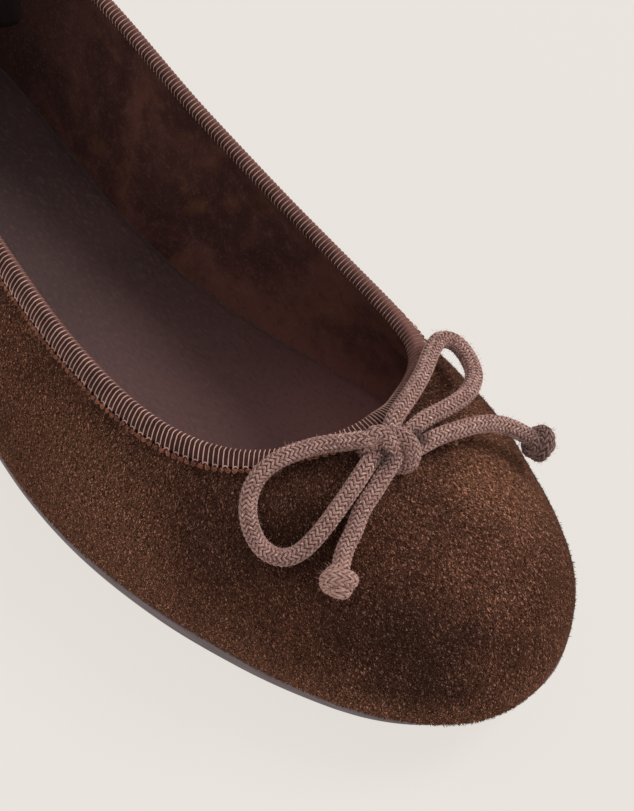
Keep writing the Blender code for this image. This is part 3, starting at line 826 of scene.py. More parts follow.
# Upper: suede outside, suede lining inside, one closed wall
upper = {
    "around": 560,
    "risesOut": 60,
    "risesIn": 26,
    "lastingMargin": 8.0 * mm,
    "swell": 0.10 * mm,
}
suede = {
    "dark": srgb(141, 93, 72),
    "light": srgb(178, 122, 97),
    # pale tone for wear, and for painted light in the marks and low on the wall
    "wornAndLit": srgb(206, 144, 113),
    # dark tone for the random mottle, and for painted shade in the marks and under the binding
    "mottleAndShade": srgb(84, 58, 48),
    "speck": srgb(208, 158, 136),
    # the grain's dark pits, and painted shadow in one mark
    "pitAndShadow": srgb(36, 18, 12),
    "sheen": srgb(238, 164, 130),
}
# Soft troughs (negative) and ridges: turn and rise of the two ends, half width, height
creases = (
    ("below the binding, lateral", (0.33, 0.80), (0.44, 0.84), 3.0 * mm, -0.25 * mm),
    ("below the binding, medial", (0.56, 0.84), (0.68, 0.80), 3.0 * mm, -0.25 * mm),
    ("under the bow", (0.44, 0.90), (0.56, 0.90), 4.0 * mm, -0.30 * mm),
    ("vamp, lateral", (0.40, 0.30), (0.425, 0.72), 6.0 * mm, 0.25 * mm),
    ("vamp, medial", (0.60, 0.30), (0.575, 0.72), 6.0 * mm, 0.25 * mm),
    ("ball, lateral low", (0.30, 0.18), (0.385, 0.15), 4.0 * mm, -0.20 * mm),
    ("ball, lateral high", (0.29, 0.45), (0.37, 0.40), 5.0 * mm, 0.20 * mm),
    ("toe tuck, lateral", (0.45, 0.10), (0.485, 0.12), 2.5 * mm, -0.22 * mm),
    ("toe tuck, medial", (0.515, 0.11), (0.55, 0.10), 2.5 * mm, -0.22 * mm),
    ("waist, medial", (0.72, 0.55), (0.82, 0.50), 7.0 * mm, -0.30 * mm),
    ("waist, lateral", (0.17, 0.50), (0.26, 0.55), 7.0 * mm, -0.20 * mm),
    ("heel, lateral", (0.05, 0.35), (0.12, 0.45), 6.0 * mm, 0.20 * mm),
    ("heel, medial", (0.88, 0.45), (0.95, 0.35), 6.0 * mm, 0.20 * mm),
)


def creaseHeights(skin):
    # how far each point of the skin stands out or in, from the creases and a gentle swell
    heights = np.zeros(skin.shape[:2])
    for label, start, end, width, height in creases:
        share = np.linspace(0, 1, 24)
        turns = start[0] + (end[0] - start[0]) * share
        rises = start[1] + (end[1] - start[1]) * share
        line = last.skin(turns, rises[:, None])[:, 0]
        nearest = np.full(skin.shape[:2], 1e9)
        fade = np.zeros(skin.shape[:2])
        for place, spot in zip(share, line):
            away = np.linalg.norm(skin - spot, axis=2)
            closer = away < nearest
            nearest[closer] = away[closer]
            fade[closer] = math.sin(math.pi * (0.1 + 0.8 * place))
        heights += height * fade * np.exp(-(nearest / width) ** 2)
    x, y, z = (skin[..., axis] * 1000 for axis in range(3))
    swell = np.sin(x / 5.3 + 1.7 * np.sin(y / 11.0)) * np.sin(y / 6.1 + z / 7.7)
    swell += 0.6 * np.sin(x / 2.9 - y / 3.7) * np.sin(z / 3.1 + y / 4.4)
    return heights + upper["swell"] * swell


def innerWall(turns, rises, extra=0.0):
    return last.skin(turns, rises) - last.normals(turns, rises) * (lastSizes["wall"] + extra)


def wallAtHeight(turns, height, extra=0.0):
    rises = np.linspace(0.0, 0.35, 71)
    wall = innerWall(turns, rises, extra)
    above = wall[:, :, 2] - last.soleTop(wall) - lastSizes["gap"]
    ring = np.empty((len(turns), 3))
    for i in range(len(turns)):
        for axis in range(3):
            ring[i, axis] = np.interp(height, above[i], wall[i, :, axis])
    return ring


def atHeight(ring, heights):
    raised = ring.copy()
    raised[:, 2] = heights
    return raised


# Soft marks in the suede, painted shade and shadow where darker and painted light where paler: tone, place
# in millimetres, reach in millimetres, strength
marks = (
    ("mottleAndShade", (-33.0, -63.0, 31.0), 16.0, 0.55),
    ("mottleAndShade", (-36.0, -45.0, 36.0), 9.0, 0.30),
    ("mottleAndShade", (-20.0, -97.0, 29.0), 15.0, 0.60),
    ("mottleAndShade", (-14.0, -108.0, 27.0), 17.0, 0.80),
    ("mottleAndShade", (-19.0, -113.0, 21.0), 13.0, 0.70),
    ("mottleAndShade", (-24.0, -77.0, 37.0), 15.0, 0.85),
    # painted shadow under the bow's lateral loop
    ("pitAndShadow", (-24.0, -76.0, 38.0), 12.0, 0.35),
    ("mottleAndShade", (-3.0, -91.0, 42.0), 12.0, 0.35),
    ("mottleAndShade", (4.0, -121.0, 23.0), 14.0, 0.35),
    # painted light: paler on the toe's medial top and on the lateral wall
    ("wornAndLit", (20.0, -92.0, 40.0), 18.0, 0.85),
    ("wornAndLit", (27.0, -79.0, 40.0), 13.0, 0.50),
    ("wornAndLit", (-40.0, -28.0, 22.0), 22.0, 0.45),
    ("wornAndLit", (-40.0, -47.0, 16.0), 21.0, 0.60),
)


def suedeTone(finish, place, rise):
    # the suede's tone: clouded and mottled dye, soft marks of painted shade and painted light, warmer and
    # paler low on the wall from wear and painted light from the floor, and painted shade under the binding
    clouds = finish.noise(place, 38.0, 3.0, 0.55, 0.6)
    patches = finish.noise(place, 95.0, 2.0, 0.5, 0.4)
    mottle = finish.noise(place, 260.0, 3.0, 0.6, 0.3)
    tone = finish.mix(clouds.between(0.34, 0.68), suede["dark"], suede["light"])
    tone = finish.mix((1.0 - mottle.between(0.34, 0.52)) * 0.35, tone, suede["mottleAndShade"])
    # the soft marks: painted shade, painted shadow and painted light
    for shade, spot, reach, strength in marks:
        edge = (finish.away(place, spot, reach) + patches * 0.8 - 0.4).between(0.25, 1.05)
        tone = finish.mix((1.0 - edge) * strength, tone, suede[shade])
    # paler low on the wall: partly wear, partly painted light from the floor
    low = (1.0 - rise.between(0.02, 0.22)) * (patches.between(0.25, 0.6) * 0.6 + 0.4)
    tone = finish.mix(low * 0.6, tone, suede["wornAndLit"])
    # painted shade under the binding's edge
    under = rise.between(0.72, 0.95) * patches.between(0.30, 0.58)
    return finish.mix(under * 0.75, tone, suede["mottleAndShade"])


def makeSuedeFinish():
    finish = Finish(
        "dark_suede", Roughness=0.95, Specular_IOR_Level=0.15,
        Sheen_Weight=1.0, Sheen_Roughness=0.35, Sheen_Tint=suede["sheen"],
    )
    place = finish.place()
    brushed = finish.noise(place, 190.0, 3.0, 0.6, 0.4)
    grain = finish.noise(finish.stretched(place, (1.0, 0.6, 0.8), (0.2, 0.3, 1.1)), 3400.0, 2.0, 0.6, 0.5)
    tone = suedeTone(finish, place, finish.attribute("rise"))
    tone = finish.mix(brushed.between(0.45, 0.75) * 0.2, tone, suede["speck"])
    tone = finish.mix(grain.between(0.52, 0.70) * 0.6, tone, suede["speck"])
    tone = finish.mix((1.0 - grain.between(0.34, 0.49)) * 0.7, tone, suede["pitAndShadow"])
    finish.feed("Base Color", tone)
    finish.feed("Normal", finish.bump(grain + brushed * 0.4, 0.2 * mm, 0.8))
    return finish.material


def makeLiningFinish():
    finish = Finish(
        "lining_suede", Roughness=0.93, Specular_IOR_Level=0.15,
        Sheen_Weight=0.3, Sheen_Roughness=0.5, Sheen_Tint=srgb(130, 92, 84),
    )
    place = finish.place()
    clouds = finish.noise(place, 48.0, 4.0, 0.6, 0.8)
    warm = finish.noise(place, 85.0, 3.0, 0.55, 0.5)
    grain = finish.noise(place, 1500.0, 2.0, 0.6)
    tone = finish.mix(clouds.between(0.35, 0.65), srgb(68, 42, 39), srgb(104, 66, 60))
    tone = finish.mix(warm.between(0.50, 0.68) * 0.5, tone, srgb(116, 74, 54))
    low = 1.0 - finish.attribute("rise").between(0.04, 0.34)
    frontwards = 1.0 - finish.split(place, "Y").between(-0.045, 0.010)
    tone = finish.mix(low * frontwards * 0.65, tone, srgb(152, 98, 90))
    mottle = finish.noise(place, 330.0, 4.0, 0.65, 0.3)
    tone = finish.mix(mottle.between(0.50, 0.70) * 0.25, tone, srgb(134, 90, 78))
    tone = finish.mix((1.0 - mottle.between(0.32, 0.48)) * 0.25, tone, srgb(48, 30, 26))
    # darker towards the heel: painted shade deep inside the shoe
    heelwards = finish.split(place, "Y").between(0.030, 0.075)
    tone = finish.mix(heelwards * 0.75, tone, srgb(32, 20, 17))
    tone = finish.mix(grain.between(0.5, 0.8) * 0.3, tone, srgb(140, 104, 96))
    finish.feed("Base Color", tone)
    finish.feed("Normal", finish.bump(grain + clouds * 0.8, 0.2 * mm, 0.6))
    return finish.material


def makeUpper():
    turns = np.arange(upper["around"]) / upper["around"]
    out = np.linspace(0, 1, upper["risesOut"])
    skin = last.skin(turns, out)
    normals = last.normals(turns, out)
    fade = np.clip(np.minimum(out / 0.04, (1 - out) / 0.08), 0, 1)
    skin = skin + normals * (creaseHeights(skin) * fade)[..., None]
    inner = innerWall(turns, np.linspace(1, 0.03, upper["risesIn"]))
    feather = skin[:, 0]
    margin = feather - last.outward(turns) * upper["lastingMargin"]
    low = atHeight(margin, last.soleTop(margin) + lastSizes["gap"])
    rings = [skin[:, k] for k in range(len(out))]
    rings += [inner[:, k] for k in range(upper["risesIn"])]
    rings += [wallAtHeight(turns, lastSizes["wall"]), atHeight(margin, low[:, 2] + lastSizes["wall"]), low]
    faces = ringFaces(len(rings), len(turns), closed=True)
    piece = addPiece("upper_suede", np.concatenate(rings), faces, makeSuedeFinish())
    piece.data.materials.append(makeLiningFinish())
    inside = np.zeros(len(faces), np.int32)
    inside[len(out) * len(turns):] = 1
    piece.data.polygons.foreach_set("material_index", inside)
    levels = np.concatenate([out, np.linspace(1, 0.03, upper["risesIn"]), [0, 0, 0]])
    storeFloat(piece.data, "rise", np.repeat(levels, len(turns)))
    dress(piece, "suede", "upper")
    return skin


skin = makeUpper()
print("upper made")


# Nap: short fibres lying on the suede, as thin triangles
nap = {
    "long": 1.0 * mm,
    "wide": 0.20 * mm,
    "lift": 0.10,
    "spread": 1.0,
    "fibres": 128000,
    "seeds": {"nap_first": 7, "nap_second": 19, "nap_third": 13},
    "free": 4,
}


def napTree():
    tree, given = geometryTree("layNap", [
        ("Density", "Float", 1.0), ("Fibre", "Object", None), ("Lift", "Float", 0.2),
        ("Spread", "Float", 0.5), ("Seed", "Int", 1), ("Finish", "Material", None),
    ])
    spread = tree.node("GeometryNodeDistributePointsOnFaces", {"distribute_method": "RANDOM"}, {
        "Mesh": given["Geometry"], "Density": given["Density"], "Seed": given["Seed"],
    })
    normal = spread.out("Normal")
    level = tree.vector("CROSS_PRODUCT", normal, tree.shaken(given["Spread"], given["Seed"]))
    total = tree.vector("ADD", tree.stored("napWay"), level)
    total = tree.vector("ADD", total, tree.scaled(normal, given["Lift"]))
    grown = tree.random(0.55, 1.25, given["Seed"])
    laid = tree.copies(spread, given["Fibre"], tree.aimed(total, normal), grown)
    tinted = tree.node("GeometryNodeStoreNamedAttribute", {"data_type": "FLOAT", "domain": "INSTANCE"}, {
        "Geometry": laid, "Name": "tint", "Value": tree.random(0.0, 1.0, 31),
    })
    return closeTree(tree, tinted, given["Finish"])


def makeNapFinish():
    finish = Finish(
        "nap_fibre", Roughness=0.95, Specular_IOR_Level=0.05,
        Sheen_Weight=0.15, Sheen_Roughness=0.5, Sheen_Tint=suede["sheen"],
    )
    tint = finish.attribute("tint")
    grain = finish.noise(finish.place(), 1700.0, 2.0, 0.6, 0.4)
    tone = suedeTone(finish, finish.place(), finish.attribute("rise"))
    tone = finish.mix(tint.between(0.45, 1.0) * 0.75, tone, suede["speck"])
    tone = finish.mix((1.0 - tint.between(0.0, 0.5)) * 0.8, tone, suede["pitAndShadow"])
    tone = finish.mix((1.0 - grain.between(0.40, 0.54)) * 0.85, tone, suede["pitAndShadow"])
    finish.feed("Base Color", tone)
    return finish.material


def makeNap():
    # the fibres grow on the skin's own faces and point down it; they stop under the binding
    turns, rises = np.arange(upper["around"] + 1), np.arange(upper["risesOut"] - nap["free"] + 1)
    grid = skin[turns % upper["around"]][:, rises]
    ways = -unit(np.gradient(grid, axis=1))
    faces = gridFaces(len(rises), len(turns))
    wide, long = nap["wide"] / 2, nap["long"]
    fibre = addPiece("fibre_shape", [(0, -wide, 0), (0, wide, 0), (long, 0, 0)], [(0, 1, 2)], smooth=False)
    group, finish = napTree(), makeNapFinish()
    for name, seed in nap["seeds"].items():
        base = addPiece(name, grid.transpose(1, 0, 2).reshape(-1, 3), faces)
        storeVector(base.data, "napWay", ways.transpose(1, 0, 2).reshape(-1, 3))
        storeFloat(base.data, "rise", np.repeat(rises / (upper["risesOut"] - 1), len(turns)))
        area = sum(face.area for face in base.data.polygons)
        growPiece(base, group, {
            "Density": nap["fibres"] / area, "Fibre": fibre, "Lift": nap["lift"], "Spread": nap["spread"],
            "Seed": seed, "Finish": finish,
        })
        dress(base, "suede")
        print(name, len(base.data.polygons), "fibres on", round(area * 1e6), "mm2")
    bpy.data.objects.remove(fibre)


makeNap()


# Binding: a grosgrain ribbon folded over the topline, its ribs, stitches and selvedge
binding = {
    "depth": 4.3 * mm,
    "depthInside": 1.6 * mm,
    "lift": 0.8 * mm,
    "crown": 1.0 * mm,
    "ribbonLift": 0.55 * mm,
    "ribPitch": 0.995 * mm,
    "ribThick": 0.120 * mm,
    "ribLean": 0.0050,
    "belly": 0.30 * mm,
    "bellyDepth": 3.3 * mm,
    "ribDepth": 3.25 * mm,
    "ribDepthInside": 1.45 * mm,
    "stitchDepth": 3.40 * mm,
    "stitchWide": 1.0 * mm,
    "stitchHigh": 0.62 * mm,
    "stitchThick": 0.135 * mm,
    # half width of the dark dots painted as the stitch thread's shadow
    "stitchShadowHalf": 0.30 * mm,
    "selvedgeDepth": 4.0 * mm,
    "selvedgeBump": 0.36 * mm,
    "around": 640,
}


def leaned(turns, depth):
    # the ribs' lower ends are drawn towards the throat on the lateral side of the vamp
    rise = np.clip((turns - 0.29) / 0.10, 0, 1)
    fall = np.clip((0.52 - turns) / 0.05, 0, 1)
    lean = binding["ribLean"] * rise * rise * (3 - 2 * rise) * fall
    return turns + lean * depth / binding["ribDepth"]


def bindingRings(turns, lift, outerDepths, innerDepths, crownSteps=7):
    # rings from the outer leg's lower edge over the crown to the inner leg's lower edge
    depths = np.array(sorted(outerDepths, reverse=True))
    belly = binding["belly"] * np.sin(math.pi * np.clip(depths / binding["bellyDepth"], 0, 1))
    rings = []
    for depth, bulge in zip(depths, belly):
        at = leaned(turns, depth)
        rises = last.risesBelowRim(at, [depth])
        rings.append(last.skin(at, rises)[:, 0] + last.normals(at, rises)[:, 0] * (lift + bulge))
    rim = last.skin(turns, [1.0])[:, 0]
    rimOut = last.normals(turns, np.array([1.0]))[:, 0]
    below = last.skin(turns, last.risesBelowRim(turns, [2.5 * mm]))[:, 0]
    upward = unit(rim - below)
    middle = rim - rimOut * lastSizes["wall"] / 2
    half = lastSizes["wall"] / 2 + lift
    crown = binding["crown"] - binding["lift"] + lift
    for step in range(1, crownSteps + 1):
        angle = math.pi * step / (crownSteps + 1)
        rings.append(middle + rimOut * half * math.cos(angle) + upward * crown * math.sin(angle))
    depths = np.array(sorted(innerDepths))
    rises = last.risesBelowRim(turns, depths)
    wall, out = last.skin(turns, rises), last.normals(turns, rises)
    rings += [wall[:, k] - out[:, k] * (lastSizes["wall"] + lift) for k in range(len(depths))]
    return rings


def threadTree():
    tree, given = geometryTree("spinThreads", [
        ("Thread radius", "Float", 0.001), ("Sides", "Int", 6), ("Finish", "Material", None),
    ])
    lines = tree.node("GeometryNodeMeshToCurve", None, {"Mesh": given["Geometry"]})
    profile = tree.node("GeometryNodeCurvePrimitiveCircle", None, {
        "Resolution": given["Sides"], "Radius": given["Thread radius"],
    })
    tubes = tree.node("GeometryNodeCurveToMesh", None, {
        "Curve": lines, "Profile Curve": profile, "Fill Caps": True,
    })
    return closeTree(tree, tubes, given["Finish"])


def rowTree():
    # one copy of a shape on each point, laid along alongWay with its top towards outWay
    tree, given = geometryTree("setRow", [
        ("Shape", "Object", None), ("Smallest", "Float", 0.9), ("Largest", "Float", 1.1),
        ("Sway", "Float", 0.1), ("Seed", "Int", 1), ("Finish", "Material", None),
    ])
    along = tree.vector("ADD", tree.stored("alongWay"), tree.shaken(given["Sway"], given["Seed"]))
    size = tree.random(given["Smallest"], given["Largest"], given["Seed"])
    row = tree.copies(given["Geometry"], given["Shape"], tree.aimed(along, tree.stored("outWay")), size)
    return closeTree(tree, row, given["Finish"])


def makeRibbonFinish(name, dark, light, edge, crown):
    # crown is the colour where the ribbon folds over the rim
    finish = Finish(name, Roughness=0.85, Specular_IOR_Level=0.3, Sheen_Weight=0.2, Sheen_Tint=crown)
    place = finish.place()
    fine = finish.noise(place, 2600.0, 2.0)
    patches = finish.noise(place, 300.0, 2.0)
    tone = finish.mix(patches.between(0.35, 0.65), dark, light)
    tone = finish.mix(fine.between(0.5, 0.8) * 0.5, tone, edge)
    # the fold share pulls towards the crown colour; on the medial binding's threads this is painted shade
    tone = finish.mix(finish.attribute("fold").between(0.25, 1.0) * 0.85, tone, crown)
    finish.feed("Base Color", tone)
    finish.feed("Normal", finish.bump(fine, 0.08 * mm, 0.6))
    return finish.material


def rowPiece(name, spots, alongWays, outWays, shape, tree, settings):
    base = addPiece(name, spots, [])
    storeVector(base.data, "alongWay", alongWays)
    storeVector(base.data, "outWay", outWays)
    growPiece(base, tree, {"Shape": shape, **settings})
    base.data.shade_smooth()
    bpy.data.objects.remove(shape)
    return base


def rimLine(turns, depth, lift):
    # points on the outer leg with the ways along and out of it
    turns = leaned(turns, depth)
    rises = last.risesBelowRim(turns, [depth])
    wall, out = last.skin(turns, rises)[:, 0], last.normals(turns, rises)[:, 0]
    step = 1e-3
    along = unit(last.skin(turns + step, rises)[:, 0] - last.skin(turns - step, rises)[:, 0])
    return wall + out * lift, along, out


def foldAndShadeShares(turns, outerCount, innerCount):
    # how reddish each ring is: the threads pale away from the side of the fold that faces the far edge; on
    # the medial binding the high shares also dim the threads as painted shade
    near = [0.0] * outerCount + [0.0, 0.0, 0.2, 0.6, 0.95, 1.0, 1.0] + [1.0] * innerCount
    far = [1.0] * outerCount + [1.0, 0.85, 0.65, 0.5, 0.45, 0.42, 0.42] + [0.42] * innerCount
    medial = np.clip((turns - 0.52) / 0.06, 0, 1) * np.clip((1.0 - turns) / 0.04, 0, 1)
    shares = np.array(near)[:, None] * (1 - medial) + np.array(far)[:, None] * medial
    throatwards = 0.35 * np.exp(-((turns - 0.49) / 0.04) ** 2) + 0.6 * np.exp(-((turns - 0.59) / 0.03) ** 2)
    return np.clip(shares + throatwards, 0, 1)


def threadShape(name, points, thick, sides=5):
    # a bent thread whose ends dive under the cloth
    points = np.asarray(points, float)
    ways = unit(np.gradient(points, axis=0))
    radials = unit(np.cross(ways, np.array([0.13, 0.37, 1.0])))
    points, faces, uv = tubeMesh(points, radials, ways, thick, thick, sides, 0)
    return addPiece(name, points, faces)


def ballShape(name, half, rows=6, around=10):
    points, faces = [(0, 0, -half[2])], []
    for row in range(1, rows):
        lift = -math.pi / 2 + math.pi * row / rows
        for side in range(around):
            turn = 2 * math.pi * side / around
            spoke = math.cos(lift) * math.cos(turn), math.cos(lift) * math.sin(turn), math.sin(lift)
            points.append(tuple(reach * part for reach, part in zip(half, spoke)))
    points.append((0, 0, half[2]))
    for side in range(around):
        after = (side + 1) % around
        faces.append((0, 1 + after, 1 + side))
        for row in range(rows - 2):
            low, high = 1 + row * around, 1 + (row + 1) * around
            faces.append((low + side, low + after, high + after, high + side))
        high = 1 + (rows - 2) * around
        faces.append((high + side, high + after, len(points) - 1))
    return addPiece(name, points, faces)


def makeBinding():
    turns = np.arange(binding["around"]) / binding["around"]
    depths = np.linspace(0, binding["depth"] - 0.1 * mm, 7)
    depthsInside = np.linspace(0, binding["depthInside"] - 0.1 * mm, 4)
    outer = bindingRings(turns, binding["ribbonLift"], depths, depthsInside)
    under = bindingRings(turns, lastSizes["gap"] * 0.5, depths, depthsInside)
    rings = outer + under[::-1]
    folds = foldAndShadeShares(turns, 7, 4)
    folds = np.concatenate([folds, folds[::-1]])
    red = srgb(114, 76, 69)
    ground = srgb(46, 19, 13), srgb(64, 31, 23), srgb(86, 49, 40)
    ribbonFinish = makeRibbonFinish("ribbon_ground", *ground, red)
    faces = ringFaces(len(rings), len(turns), closed=True)
    ribbon = addPiece("binding_ribbon", np.concatenate(rings), faces, ribbonFinish)
    storeFloat(ribbon.data, "fold", folds)
    dress(ribbon, "binding", "binding")

    ribCount = round(last.rimLength() / binding["ribPitch"] / 2) * 2
    ribTurns = last.evenTurns(ribCount)
    outerDepths = np.linspace(0, binding["ribDepth"], 6)
    innerDepths = np.linspace(0, binding["ribDepthInside"], 3)
    ribLift = binding["ribbonLift"] + 0.3 * binding["ribThick"]
    lines = bindingRings(ribTurns, ribLift, outerDepths, innerDepths)
    steps = len(lines)
    points = np.stack(lines, axis=1).reshape(-1, 3)
    edges = [(i * steps + k, i * steps + k + 1) for i in range(ribCount) for k in range(steps - 1)]
    light = (srgb(176, 138, 127), srgb(204, 168, 156), srgb(226, 196, 186))
    threadFinish = makeRibbonFinish("ribbon_thread", *light, srgb(124, 84, 76))
    ribs = addPiece("binding_ribs", points, [], edges=edges)
    storeFloat(ribs.data, "fold", foldAndShadeShares(ribTurns, 6, 3).T)
    growPiece(ribs, threadTree(), {"Thread radius": binding["ribThick"], "Sides": 5, "Finish": threadFinish})
    ribs.data.shade_smooth()
    dress(ribs, "binding")

    pairTurns = (ribTurns[::2] + ribTurns[1::2]) / 2
    row = rowTree()
    spots, along, out = rimLine(pairTurns, binding["stitchDepth"], binding["ribbonLift"])
    share = np.linspace(0, 1, 11)
    arch = np.sin(math.pi * share)
    wide, high = binding["stitchWide"], binding["stitchHigh"]
    rise = 0.22 * mm * arch ** 0.5 - 0.16 * mm
    path = np.stack([(share - 0.5) * wide * 1.15, high * (arch ** 0.6 - 0.55), rise], axis=1)
    shape = threadShape("stitch_shape", path, binding["stitchThick"])
    stitches = rowPiece("binding_stitches", spots, along, out, shape, row, {
        "Smallest": 0.85, "Largest": 1.15, "Sway": 0.16, "Seed": 3, "Finish": threadFinish,
    })
    dress(stitches, "binding")

    # dark flat dots between the stitch pairs: painted shadow of the stitch thread
    gapTurns = pairTurns + 0.5 * np.gradient(pairTurns)
    spots, along, out = rimLine(gapTurns, binding["stitchDepth"] + 0.05 * mm, binding["ribbonLift"])
    half = binding["stitchShadowHalf"]
    shape = ballShape("hole_shape", (half, 1.5 * half, 0.10 * mm), 4, 8)
    stitchShadowFinish = Finish("needle_hole", Base_Color=srgb(16, 10, 9), Roughness=1.0, Specular_IOR_Level=0.0)
    stitchShadows = rowPiece("binding_holes", spots, along, out, shape, row, {
        "Smallest": 0.8, "Largest": 1.2, "Sway": 0.1, "Seed": 8, "Finish": stitchShadowFinish.material,
    })
    dress(stitchShadows, "binding")

    edgeTurns = last.evenTurns(round(ribCount * 0.74))
    spots, along, out = rimLine(edgeTurns, binding["selvedgeDepth"], 0.42 * mm)
    bump = binding["selvedgeBump"]
    shape = ballShape("bump_shape", (1.75 * bump, 1.25 * bump, bump), 5, 8)
    rust = srgb(150, 94, 64)
    rustTones = srgb(92, 48, 32), srgb(150, 88, 62), srgb(204, 146, 120)
    rustFinish = makeRibbonFinish("selvedge_thread", *rustTones, rust)
    selvedge = rowPiece("binding_selvedge", spots, along, out, shape, row, {
        "Smallest": 0.7, "Largest": 1.25, "Sway": 0.5, "Seed": 5, "Finish": rustFinish,
    })
    dress(selvedge, "binding")

    rise = 0.75 * bump * arch ** 0.5 + 0.02 * mm
    path = np.stack([(share - 0.5) * 3.4 * bump, 1.1 * bump - 2.6 * bump * arch ** 0.7, rise], axis=1)
    shape = threadShape("loop_shape", path, 0.085 * mm, 4)
    paleTones = srgb(112, 68, 52), srgb(156, 108, 90), srgb(196, 152, 138)
    pale = makeRibbonFinish("loop_thread", *paleTones, rust)
    loops = rowPiece("binding_loops", spots, along, out, shape, row, {
        "Smallest": 0.5, "Largest": 1.2, "Sway": 0.7, "Seed": 6, "Finish": pale,
    })
    dress(loops, "binding")
    print("binding:", ribCount, "ribs")


makeBinding()


# Insole: a soft leather sock over the footbed
insole = {
    "thick": 2.6 * mm,
    "across": 44,
    "along": 260,
    "crown": 0.5 * mm,
    "crownReach": 6.0 * mm,
    "round": 0.9 * mm,
    "roundReach": 2.0 * mm,
    "perTurn": 0.35,
}
# Wrinkles in the sock: centre across and along the shoe in millimetres, way in degrees, length, width, depth
wrinkles = (
    (-6.0, -52.0, 62.0, 11.0, 1.6, -0.22),
    (-3.0, -50.0, 66.0, 9.0, 1.3, 0.16),
    (-9.5, -49.0, 58.0, 8.0, 1.3, 0.14),
    (8.0, -40.0, 75.0, 12.0, 2.2, -0.12),
    (4.0, -30.0, 80.0, 14.0, 2.5, -0.10),
    (-14.0, -36.0, 70.0, 12.0, 2.2, 0.10),
)


def makeLeatherFinish():
    finish = Finish("insole_leather", Specular_IOR_Level=0.35, Sheen_Weight=0.1)
    place = finish.place()
    clouds = finish.noise(place, 34.0, 3.0, 0.5, 0.3)
    grain = finish.cells(place, 1500.0)
    pores = finish.noise(finish.stretched(place, (1.0, 0.45, 1.0), (0, 0, 0.5)), 1500.0, 3.0, 0.6)
    along = finish.split(place, "Y")
    inwards = finish.split(place, "X").between(-0.004, 0.026)
    behind = along.between(-0.056, -0.015)
    # darker towards the heel: painted shade deep inside the shoe
    tone = finish.mix(along.between(-0.040, 0.055), srgb(94, 62, 60), srgb(39, 25, 24))
    # paler at the front by the medial wall: painted light
    tone = finish.mix(inwards * (1.0 - behind), tone, srgb(142, 96, 93))
    # darker by the medial wall further back: painted shadow of that wall
    tone = finish.mix(inwards * behind * 0.3, tone, srgb(42, 26, 24))
    tone = finish.mix(clouds.between(0.3, 0.7) * 0.22, tone, srgb(108, 72, 69))
    tone = finish.mix(pores.between(0.5, 0.8) * 0.35, tone, srgb(126, 90, 88))
    tone = finish.mix((1.0 - pores.between(0.3, 0.5)) * 0.3, tone, srgb(38, 24, 23))
    finish.feed("Base Color", tone)
    finish.feed("Roughness", pores * 0.25 + 0.48)
    finish.feed("Normal", finish.bump(pores + grain * 0.6, 0.10 * mm, 0.6))
    return finish.material


def insoleShape(points):
    # wrinkles and a gentle swell, added to the footbed's plain height
    x, y = points[..., 0] * 1000, points[..., 1] * 1000
    height = np.zeros(x.shape)
    for middleX, middleY, way, long, wide, deep in wrinkles:
        angle = math.radians(way)
        alongIt = (x - middleX) * math.cos(angle) + (y - middleY) * math.sin(angle)
        acrossIt = (y - middleY) * math.cos(angle) - (x - middleX) * math.sin(angle)
        height += deep * np.exp(-(alongIt / long) ** 2 - (acrossIt / wide) ** 2)
    height += 0.05 * np.sin(x / 4.1 + np.sin(y / 9.0)) * np.sin(y / 6.3)
    return height * mm


def makeInsole():
    floor = lastSizes["wall"] + lastSizes["gap"]
    count = insole["along"]
    side = np.linspace(0.004, 0.496, count)
    share = (1 - np.cos(np.linspace(0, math.pi, insole["across"]))) / 2
    lateral = wallAtHeight(side, floor + insole["thick"], lastSizes["gap"])
    medial = wallAtHeight(1 - side, floor + insole["thick"], lastSizes["gap"])
    top = lateral[:, None] + (medial - lateral)[:, None] * share[None, :, None]
    width = np.linalg.norm(medial - lateral, axis=1)[:, None]
    inward = np.minimum(share, 1 - share)[None] * width
    alongIn = np.minimum(side - side[0], side[-1] - side)[:, None] * insole["perTurn"]
    inward = np.minimum(inward, alongIn)
    drop = insole["round"] * np.clip(1 - inward / insole["roundReach"], 0, 1) ** 2
    top[..., 2] = last.soleTop(top) + lastSizes["gap"] + floor + insole["thick"] - drop
    middle = np.clip(1 - (2 * share - 1) ** 2, 0, 1)[None]
    crown = insole["crown"] * middle * np.clip(inward / insole["crownReach"], 0, 1)
    top[..., 2] += crown + insoleShape(top)
    bottom = top.copy()
    bottom[..., 2] = last.soleTop(top) + lastSizes["gap"] + floor
    rows, columns = top.shape[:2]
    faces = []
    for sheet, order in ((0, (0, 3, 2, 1)), (rows * columns, (1, 2, 3, 0))):
        faces += [tuple(sheet + face[i] for i in order) for face in gridFaces(rows, columns)]
    border = [(i, 0) for i in range(rows)] + [(rows - 1, k) for k in range(1, columns)]
    border += [(i, columns - 1) for i in range(rows - 2, -1, -1)]
    border += [(0, k) for k in range(columns - 2, 0, -1)]
    loop = [i * columns + k for i, k in border]
    for here, there in zip(loop, loop[1:] + loop[:1]):
        faces.append((here, rows * columns + here, rows * columns + there, there))
    points = np.concatenate([top.reshape(-1, 3), bottom.reshape(-1, 3)])
    piece = addPiece("insole_sock", points, faces, makeLeatherFinish())
    dress(piece, "insole", "insole")


makeInsole()
print("insole laid")


# Heel lining: a thin leather grip inside the back of the shoe
heelLining = {
    "reach": 0.118,
    "thick": 0.7 * mm,
    "top": 0.93,
    "bottom": 0.12,
    "around": 150,
    "up": 30,
    "corner": 0.26,
    "tall": 30 * mm,
    "halfLong": 60 * mm,
    "taper": 1.2 * mm,
}


